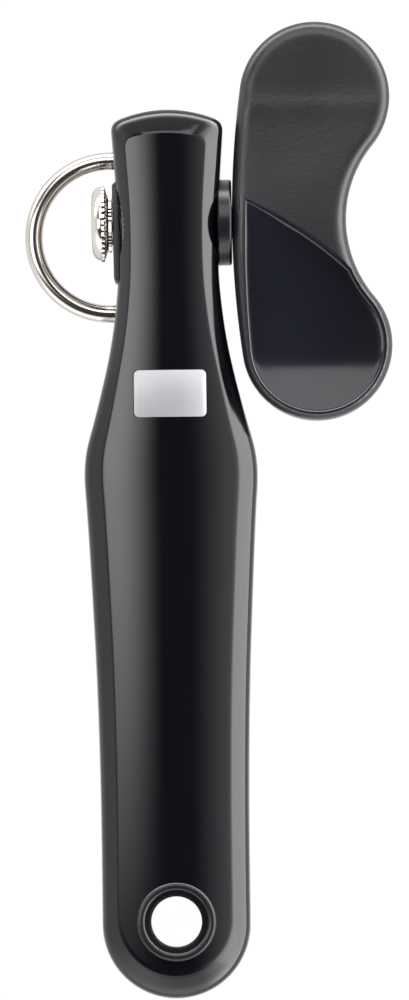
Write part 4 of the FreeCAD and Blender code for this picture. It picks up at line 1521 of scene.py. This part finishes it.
@dataclass
class TurningKnob:
    """Two-lobed knob with a finger pocket on each side, and its plug.

    Attributes:
        shop: Where the pieces are finished.
        face: U of the handle-side face at the spindle.
        lobe_out: U of the lobes' centres.
        lobe_offset: V of the upper lobe's centre.
        lobe: Lobe radius.
        waist: U of the outer side at the spindle.
        half: Half thickness.
        rim: Radius of the rounded rim.
        falls: V and fall of the broad face along the lobe that leans back.
        pocket_rim: Width of the rim that is left round the pocket.
        pocket_start: Upper corner of the pocket.
        pocket_meet: Angle at which the pocket's ridge runs into the rim at the waist.
        pocket_deep: Lowest point of the pocket's floor above the spindle's axis.
        pocket_low: U and V of that lowest point.
        pocket_dish: How gently the floor rises from it along U and along V.
        pocket_fillet: Radius between the pocket's wall and floor.
    """

    shop: Workshop
    face: float = 13.75
    lobe_out: float = 31.8
    lobe_offset: float = 26.7
    lobe: float = 16.14
    waist: float = 38.3
    half: float = 9.0
    rim: float = 3.1
    falls: tuple[tuple[float, float], ...] = (
        (44.0, 1.75),
        (30.0, 1.72),
        (27.0, 1.6),
        (25.0, 1.42),
        (22.5, 1.35),
        (20.0, 1.25),
        (5.0, 0.35),
        (0.0, 0.1),
        (-6.0, 0.0),
        (-44.0, 0.0),
    )
    pocket_rim: float = 1.25
    pocket_start: tuple[float, float] = (16.4, 5.0)
    pocket_meet: float = 23.0
    pocket_deep: float = 1.9
    pocket_low: tuple[float, float] = (31.0, -22.0)
    pocket_dish: tuple[float, float] = (300.0, 136.0)
    pocket_fillet: float = 1.1

    def build(self) -> None:
        """Makes the knob and its plug."""
        self._knob()
        self._plug()

    def waist_curve(self) -> tuple[float, float]:
        """Radius of the waist's hollow, and the angle at which it meets a lobe."""
        deep = self.waist - self.lobe_out
        radius = (deep**2 + self.lobe_offset**2 - self.lobe**2) / (2 * (self.lobe - deep))
        return radius, math.degrees(math.asin(self.lobe_offset / (radius + self.lobe)))

    def outline(self) -> list[Vector]:
        """Draws the knob's closed line seen from the front, from the spindle upwards.

        Returns:
            Points once round.
        """
        out, offset, lobe = self.lobe_out, self.lobe_offset, self.lobe
        flat = out - self.face
        face_arc = (flat**2 + offset**2 - lobe**2) / (2 * (flat - lobe))
        waist_arc, waist_turn = self.waist_curve()
        face_middle, waist_middle = self.face + face_arc, self.waist + waist_arc
        face_turn = math.degrees(math.asin(offset / (face_arc - lobe)))
        upper = arc((face_middle, 0.0), face_arc, 180.0, 180.0 - face_turn, 26)[:-1]
        upper += arc((out, offset), lobe, 180.0 - face_turn, -waist_turn, 60)[:-1]
        upper += arc((waist_middle, 0.0), waist_arc, 180.0 - waist_turn, 180.0, 20)
        lower = [(u, -v) for u, v in reversed(upper[1:-1])]
        return [Vector(point) for point in upper + lower]

    def spine_point(self, point: Vector) -> Vector:
        """Finds the point on the knob's own middle line that an outline point faces.

        Args:
            point: Point of the outline.

        Returns:
            Point of the middle line.
        """
        v = min(max(point.y, -self.lobe_offset), self.lobe_offset)
        middle = (self.face + self.waist) / 2
        share = (v / self.lobe_offset) ** 2
        return Vector((middle + (self.lobe_out - middle) * share, v))

    def rim_distance(self, point: Vector) -> float:
        """Distance from a point to the knob's outline, seen from the front."""
        flat = point.xy
        return min((flat - edge).length for edge in self.outline())

    def fall(self, v: float) -> float:
        """How far the broad face has fallen where the lobe leans back."""
        return through(self.falls, v)

    def _form(self) -> bmesh.types.BMesh:
        """Lofts the knob without its pockets.

        Returns:
            The closed form.
        """
        line = self.outline()
        spine = [self.spine_point(point) for point in line]
        loft = Loft(len(line))
        middle = self.shop.datum.spindle_high
        rounds = arc((0.0, 0.0), self.rim, 90.0, 0.0, 8)
        section = [(self.rim - x, self.half - self.rim + z) for x, z in rounds]
        inner = (0.9, 0.75, 0.6, 0.4, 0.2, 0.07)

        def ring(inset: float, share: float, high: float, side: int) -> None:
            """Adds one ring.

            Args:
                inset: Distance in from the outline.
                share: How far it lies from there to the spine, from nought to one.
                high: Distance from the knob's middle plane.
                side: One for the front, minus one for the back.
            """

            def at(station: int) -> Vector:
                """Finds the point of one station.

                Args:
                    station: Number of the station round the ring.

                Returns:
                    The point.
                """
                edge, target = line[station], spine[station]
                start = edge + (target - edge).normalized() * inset
                flat = start.lerp(target, share)
                lean = self.fall(flat.y * side) * (high / self.half)
                return Vector((flat.x, flat.y, middle + side * (high - lean)))

            loft.ring(at)

        for share in inner:
            ring(self.rim, share, self.half, 1)
        for inset, high in section:
            ring(inset, 0.0, high, 1)
        for inset, high in reversed(section):
            ring(inset, 0.0, high, -1)
        for share in reversed(inner):
            ring(self.rim, share, self.half, -1)
        return loft.closed()

    def _pocket(self, side: int) -> bmesh.types.BMesh:
        """Tool that dishes one finger pocket.

        Args:
            side: One for the front of the lower lobe, minus one for the back of the upper.

        Returns:
            The tool, closed.
        """
        middle = Vector((self.lobe_out, -self.lobe_offset))
        radius = self.lobe - self.pocket_rim
        waist_arc, waist_turn = self.waist_curve()
        start = Vector(self.pocket_start)
        turn = 180.0 + self.pocket_meet
        side_rim = arc(
            (self.waist + waist_arc, 0.0), waist_arc + self.pocket_rim, turn, 180.0 + waist_turn, 10
        )
        end = Vector(side_rim[0])
        ridge = interpolate_bezier(
            start, start + Vector((8.1, -3.95)), end + Vector((-6.5, 6.25)), end, 41
        )
        bowl = side_rim[1:] + arc(tuple(middle), radius, waist_turn, -176.0, 84)[1:]
        left_end = Vector(bowl[-1])
        back = start - left_end
        left = interpolate_bezier(
            left_end,
            left_end + Vector((-0.9, back.length * 0.35)),
            start + Vector((-0.6, -back.length * 0.3)),
            start,
            31,
        )[1:-1]
        line = [Vector(point[:2]) for point in (*ridge, *bowl, *left)]
        low, high = Vector((23.5, -4.5)), middle

        def foot(point: Vector) -> Vector:
            """Point of the pocket's middle line that an edge point faces."""
            share = intersect_point_line(point, low, high)[1]
            return low.lerp(high, min(max(share, 0.0), 1.0))

        brim = self.half - 0.8
        targets = [foot(point) for point in line]
        loft = Loft(len(line))
        axis = self.shop.datum.spindle_high

        def floor(point: Vector) -> float:
            """Height of the dished floor over the knob's middle plane."""
            across, along = (place - low for place, low in zip(point.xy, self.pocket_low))
            wide, tall = self.pocket_dish
            return self.pocket_deep + along**2 / tall + across**2 / wide

        def ring(outset: float, share: float, lift_up: float | None, flat_high: float) -> None:
            """Adds one ring of the tool.

            Args:
                outset: Distance out from the pocket's edge.
                share: How far it lies from there to the pocket's middle line.
                lift_up: Height above the dished floor, or none for a level ring.
                flat_high: Height of a level ring over the knob's middle plane.
            """

            def at(station: int) -> Vector:
                """Finds the point of one station.

                Args:
                    station: Number of the station round the ring.

                Returns:
                    The point.
                """
                edge, target = line[station], targets[station]
                way = (edge - target).normalized()
                flat = (edge + way * outset).lerp(target, share)
                high_at = flat_high if lift_up is None else min(floor(flat) + lift_up, brim)
                return Vector((flat.x, flat.y * side, axis + side * high_at))

            loft.ring(at)

        for share in (0.985, 0.8, 0.6, 0.4, 0.2, 0.06):
            ring(-self.pocket_fillet, share, 0.0, 0.0)
        for x, z in arc((0.0, 0.0), self.pocket_fillet, -90.0, 0.0, 7):
            ring(x - self.pocket_fillet, 0.0, self.pocket_fillet + z, 0.0)
        flare, past = 0.5, 1.2
        for outset, drop in ((0.0, 0.75), (0.12, 0.4), (flare, 0.0)):
            ring(outset, 0.0, None, self.half - drop)
        for share in (0.0, 0.9):
            ring(flare + past, share, None, self.half + past)
        return loft.closed()

    def _knob(self) -> None:
        """The knob with both pockets and its bores."""
        axis = self.shop.datum.spindle_high
        neck, socket, end = 15.25, (6.3, 4.25), 29.5
        bore = [(0.0, 0.0), (0.0, socket[0]), (neck, socket[0]), (neck, socket[1])]
        bore += [(end, socket[1]), (end, 0.0)]
        plug_from, plug_seat = 32.0, 3.42
        tools = [
            self._pocket(1),
            self._pocket(-1),
            lathe(bore, Vector((0.0, 0.0, axis)), ACROSS, 64),
            cross_bar(Vector((plug_from, 0.0, axis)), 20.0, plug_seat),
        ]
        knob = self.shop.carve(self._form(), tools)
        for face in knob.faces:
            middle = face.calc_center_median()
            side = math.copysign(1.0, middle.z - axis)
            deep = self.half - 0.55 - abs(middle.z - axis)
            below = self.pocket_start[1] + 0.5 - side * middle.y
            inside = self.rim_distance(middle) - self.pocket_rim + 0.05
            face.material_index = int(min(deep, below, inside) > 0)
        self.shop.piece(
            "knob_moulding", knob, KNOB_ABS, "drive", "black_knob", ["knob"], 28.0, POCKET_ABS
        )

    def _plug(self) -> None:
        """Plug over the knob's screw."""
        profile = [(35.4, 0.0), (35.4, 3.38), (37.7, 3.38), (38.0, 3.1), (38.05, 2.0), (38.08, 0.0)]
        plug = lathe(
            profile, Vector((0.0, 0.0, self.shop.datum.spindle_high)), ACROSS, 64
        )
        self.shop.piece("plug_cap", plug, KNOB_ABS, "drive", "black_knob", ["knob_plug"])


# ---------------------------------------------------------------- studio


@dataclass(frozen=True)
class Fade:
    """Smooth loss of brightness across a softbox.

    Attributes:
        axis: Number of the world axis that it runs along.
        dark: Place on that axis where the light has faded out, in metres.
        full: Place where it is at full brightness, in metres.
    """

    axis: int
    dark: float
    full: float


@dataclass(frozen=True)
class Softbox:
    """One soft area light on a circle of one metre round the opener.

    Attributes:
        name: What it is for.
        bearing: Direction that it stands in, in degrees round from the right.
        lean: Its angle from straight above, in degrees.
        spread: Angle that it takes up on the way down to the table, in degrees.
        length: Its length along the circle, in metres.
        shine: Its brightness against the white table.
        slide: How far it is moved along its own length, in metres.
        fades: Where it loses brightness.
    """

    name: str
    bearing: float
    lean: float
    spread: float
    length: float
    shine: float
    slide: float = 0.0
    fades: tuple[Fade, ...] = ()


@dataclass(frozen=True)
class Glow:
    """Soft light of the white walls, low round the opener.

    Attributes:
        side: Direction where the wall is brightest, or nought for all round.
        shine: Its brightness against the white table.
        dark: Sine of the height where it has faded out.
        full: Sine of the height where it is at full brightness.
        starts: Cosine of the bearing from its side at which it begins.
    """

    side: tuple[float, float, float]
    shine: float
    dark: float
    full: float
    starts: float = 0.15


@dataclass
class Studio:
    """Light table, soft lights and the camera over the opener.

    Attributes:
        lights: The soft area lights.
        glows: The white walls' light, seen in the gloss at grazing angles.
        ceiling: Brightness straight overhead.
        reach: Distance from the opener to each softbox, in metres.
        table: Half width of the light table, in metres.
        aim: X and Y that the camera looks at, in metres.
        aim_high: Height that the camera looks at, in metres.
        tilt_degrees: Lean of the camera towards the tail.
        roll_degrees: Turn of the camera about its own axis.
        lens_mm: Focal length on a sensor 36 mm wide.
        frame_height: Length along the opener that the picture takes in, in metres.
    """

    lights: tuple[Softbox, ...] = (
        Softbox(
            "key_left",
            180.0,
            28.0,
            46.0,
            0.95,
            4.4,
            -0.2,
            (Fade(0, -0.12, -0.62), Fade(1, -0.225, -0.07), Fade(0, -0.83, -0.72)),
        ),
        Softbox("fill_right", 0.0, 35.0, 50.0, 1.2, 1.3, 0.0, (Fade(0, 0.2, 0.8),)),
        Softbox("head_end", 90.0, 34.0, 31.0, 0.9, 2.4),
    )
    glows: tuple[Glow, ...] = (
        Glow((0.0, 0.0, 0.0), 0.95, 0.78, 0.42),
        Glow((1.0, 0.0, 0.0), 4.9, 0.74, 0.4, 0.4),
        Glow((0.0, 1.0, 0.0), 9.0, 0.48, 0.12),
        Glow((0.0, -1.0, 0.0), 1.2, 0.8, 0.5),
    )
    ceiling: float = 0.05
    reach: float = 1.0
    table: float = 6.0
    aim: tuple[float, float] = (-0.0015, 0.0022)
    aim_high: float = 0.02
    tilt_degrees: float = 1.0
    roll_degrees: float = -0.71
    lens_mm: float = 670.0
    frame_height: float = 0.2152

    def build(self) -> None:
        """Sets up the whole studio."""
        self._floor()
        self._air()
        for light in self.lights:
            self._softbox(light)
        self._camera()
        bpy.context.scene.view_settings.view_transform = "Standard"

    def _floor(self) -> None:
        """Wide opal table that glows white from below."""
        bm = bmesh.new()
        just_below = Matrix.Translation((0.0, 0.0, -0.1 * MM))
        bmesh.ops.create_grid(bm, x_segments=8, y_segments=8, size=self.table, matrix=just_below)
        floor = put_down("table_top", bm)
        material = bpy.data.materials.new("opal_light_table")
        material.use_nodes = True
        tree = material.node_tree
        tree.nodes.clear()
        noise = add_node(tree, "ShaderNodeTexNoise", {"Scale": 6.0, "Detail": 2.0})
        tone = add_node(
            tree,
            "ShaderNodeMix",
            {0: noise.outputs["Fac"], 6: linear("#262626"), 7: linear("#2a2a2a")},
            data_type="RGBA",
        )
        shader = add_node(
            tree,
            "ShaderNodeBsdfPrincipled",
            {
                "Base Color": tone.outputs[2],
                "Roughness": 0.9,
                "Emission Color": linear("#ffffff"),
                "Emission Strength": 1.0,
            },
        )
        add_node(tree, "ShaderNodeOutputMaterial", {"Surface": shader.outputs["BSDF"]})
        floor.data.materials.append(material)

    def _air(self) -> None:
        """Pale air near the horizon that darkens towards the ceiling."""
        world = bpy.data.worlds.new("studio_air")
        bpy.context.scene.world = world
        world.use_nodes = True
        tree = world.node_tree
        tree.nodes.clear()
        way = add_node(tree, "ShaderNodeTexCoord").outputs["Generated"]
        up = add_node(tree, "ShaderNodeSeparateXYZ", {"Vector": way}).outputs["Z"]
        total: float | bpy.types.NodeSocket = self.ceiling
        for glow in self.glows:
            height = add_node(
                tree,
                "ShaderNodeMapRange",
                {"Value": up, "From Min": glow.dark, "From Max": glow.full, "To Max": glow.shine},
                interpolation_type="SMOOTHSTEP",
            ).outputs["Result"]
            if any(glow.side):
                facing = add_node(
                    tree, "ShaderNodeVectorMath", {0: way, 1: glow.side}, operation="DOT_PRODUCT"
                ).outputs["Value"]
                turned = add_node(
                    tree,
                    "ShaderNodeMapRange",
                    {"Value": facing, "From Min": glow.starts, "From Max": 0.85},
                    interpolation_type="SMOOTHSTEP",
                ).outputs["Result"]
                height = add_node(
                    tree, "ShaderNodeMath", {0: height, 1: turned}, operation="MULTIPLY"
                ).outputs["Value"]
            total = add_node(
                tree, "ShaderNodeMath", {0: total, 1: height}, operation="ADD"
            ).outputs["Value"]
        back = add_node(
            tree, "ShaderNodeBackground", {"Color": linear("#ffffff"), "Strength": total}
        )
        add_node(tree, "ShaderNodeOutputWorld", {"Surface": back.outputs["Background"]})

    def _softbox(self, light: Softbox) -> None:
        """Hangs one area light so that it faces the opener.

        Args:
            light: The light to hang.
        """
        data = bpy.data.lights.new(light.name, "AREA")
        data.shape = "RECTANGLE"
        data.size = light.length
        data.size_y = 2 * self.reach * math.tan(math.radians(light.spread / 2))
        data.energy = light.shine * math.pi * data.size * data.size_y
        data.use_nodes = True
        tree = data.node_tree
        tree.nodes.clear()
        spot = add_node(tree, "ShaderNodeNewGeometry").outputs["Position"]
        place = add_node(tree, "ShaderNodeSeparateXYZ", {"Vector": spot})
        strength: float | bpy.types.NodeSocket = 1.0
        for fade in light.fades:
            ramp = add_node(
                tree,
                "ShaderNodeMapRange",
                {"Value": place.outputs[fade.axis], "From Min": fade.dark, "From Max": fade.full},
                interpolation_type="SMOOTHSTEP",
            )
            strength = add_node(
                tree,
                "ShaderNodeMath",
                {0: strength, 1: ramp.outputs["Result"]},
                operation="MULTIPLY",
            ).outputs["Value"]
        glow = add_node(tree, "ShaderNodeEmission", {"Strength": strength})
        add_node(tree, "ShaderNodeOutputLight", {"Surface": glow.outputs["Emission"]})
        lamp = bpy.data.objects.new(light.name, data)
        bpy.context.scene.collection.objects.link(lamp)
        turn = math.radians(light.bearing)
        lean = math.radians(light.lean)
        out = Vector((math.cos(turn), math.sin(turn), 0.0))
        away = out * math.sin(lean) + Vector((0.0, 0.0, math.cos(lean)))
        side = out.cross(Vector((0.0, 0.0, 1.0)))
        axes = Matrix((side, away.cross(side), away)).transposed()
        lamp.matrix_world = Matrix.Translation(away * self.reach + side * light.slide) @ (
            axes.to_4x4()
        )
        lamp.visible_camera = False

    def _camera(self) -> None:
        """Very long lens that looks down, leaning a little from the tail's side."""
        data = bpy.data.cameras.new("studio_camera")
        data.lens = self.lens_mm
        data.sensor_width = 36.0
        camera = bpy.data.objects.new("studio_camera", data)
        bpy.context.scene.collection.objects.link(camera)
        away = self.frame_height * self.lens_mm / data.sensor_width
        tilt = math.radians(self.tilt_degrees)
        target = Vector((*self.aim, self.aim_high))
        camera.location = target + Vector((0.0, -math.sin(tilt), math.cos(tilt))) * away
        camera.rotation_euler = (
            Matrix.Rotation(tilt, 3, "X") @ Matrix.Rotation(math.radians(self.roll_degrees), 3, "Z")
        ).to_euler()
        data.clip_end = 20.0
        bpy.context.scene.camera = camera


# ---------------------------------------------------------------- all together


def dress_packed_nodes(shop: Workshop, nodes: dict[str, bpy.types.Object]) -> None:
    """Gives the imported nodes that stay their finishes.

    Args:
        shop: Holds the materials.
        nodes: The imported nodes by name.
    """
    for finish, names in NODE_FINISHES.items():
        for name in names:
            nodes[name].data.materials.clear()
            nodes[name].data.materials.append(shop.material(finish))
            LOG.info("%s keeps its packed mesh, finished as %s", name, finish.name)


def main() -> None:
    """Builds the whole opener and its studio."""
    logging.basicConfig(level=logging.INFO, format="%(name)s: %(message)s")
    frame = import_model()
    shop = Workshop(Datum.from_frame())
    dress_packed_nodes(shop, frame["nodes"])
    for assembly in (
        HandleMoulding(shop),
        GuideBow(shop),
        CuttingSide(shop),
        FeedDrive(shop),
        TurningKnob(shop),
        Studio(),
    ):
        assembly.build()
    bpy.context.view_layer.update()


if __name__ == "__main__":
    main()
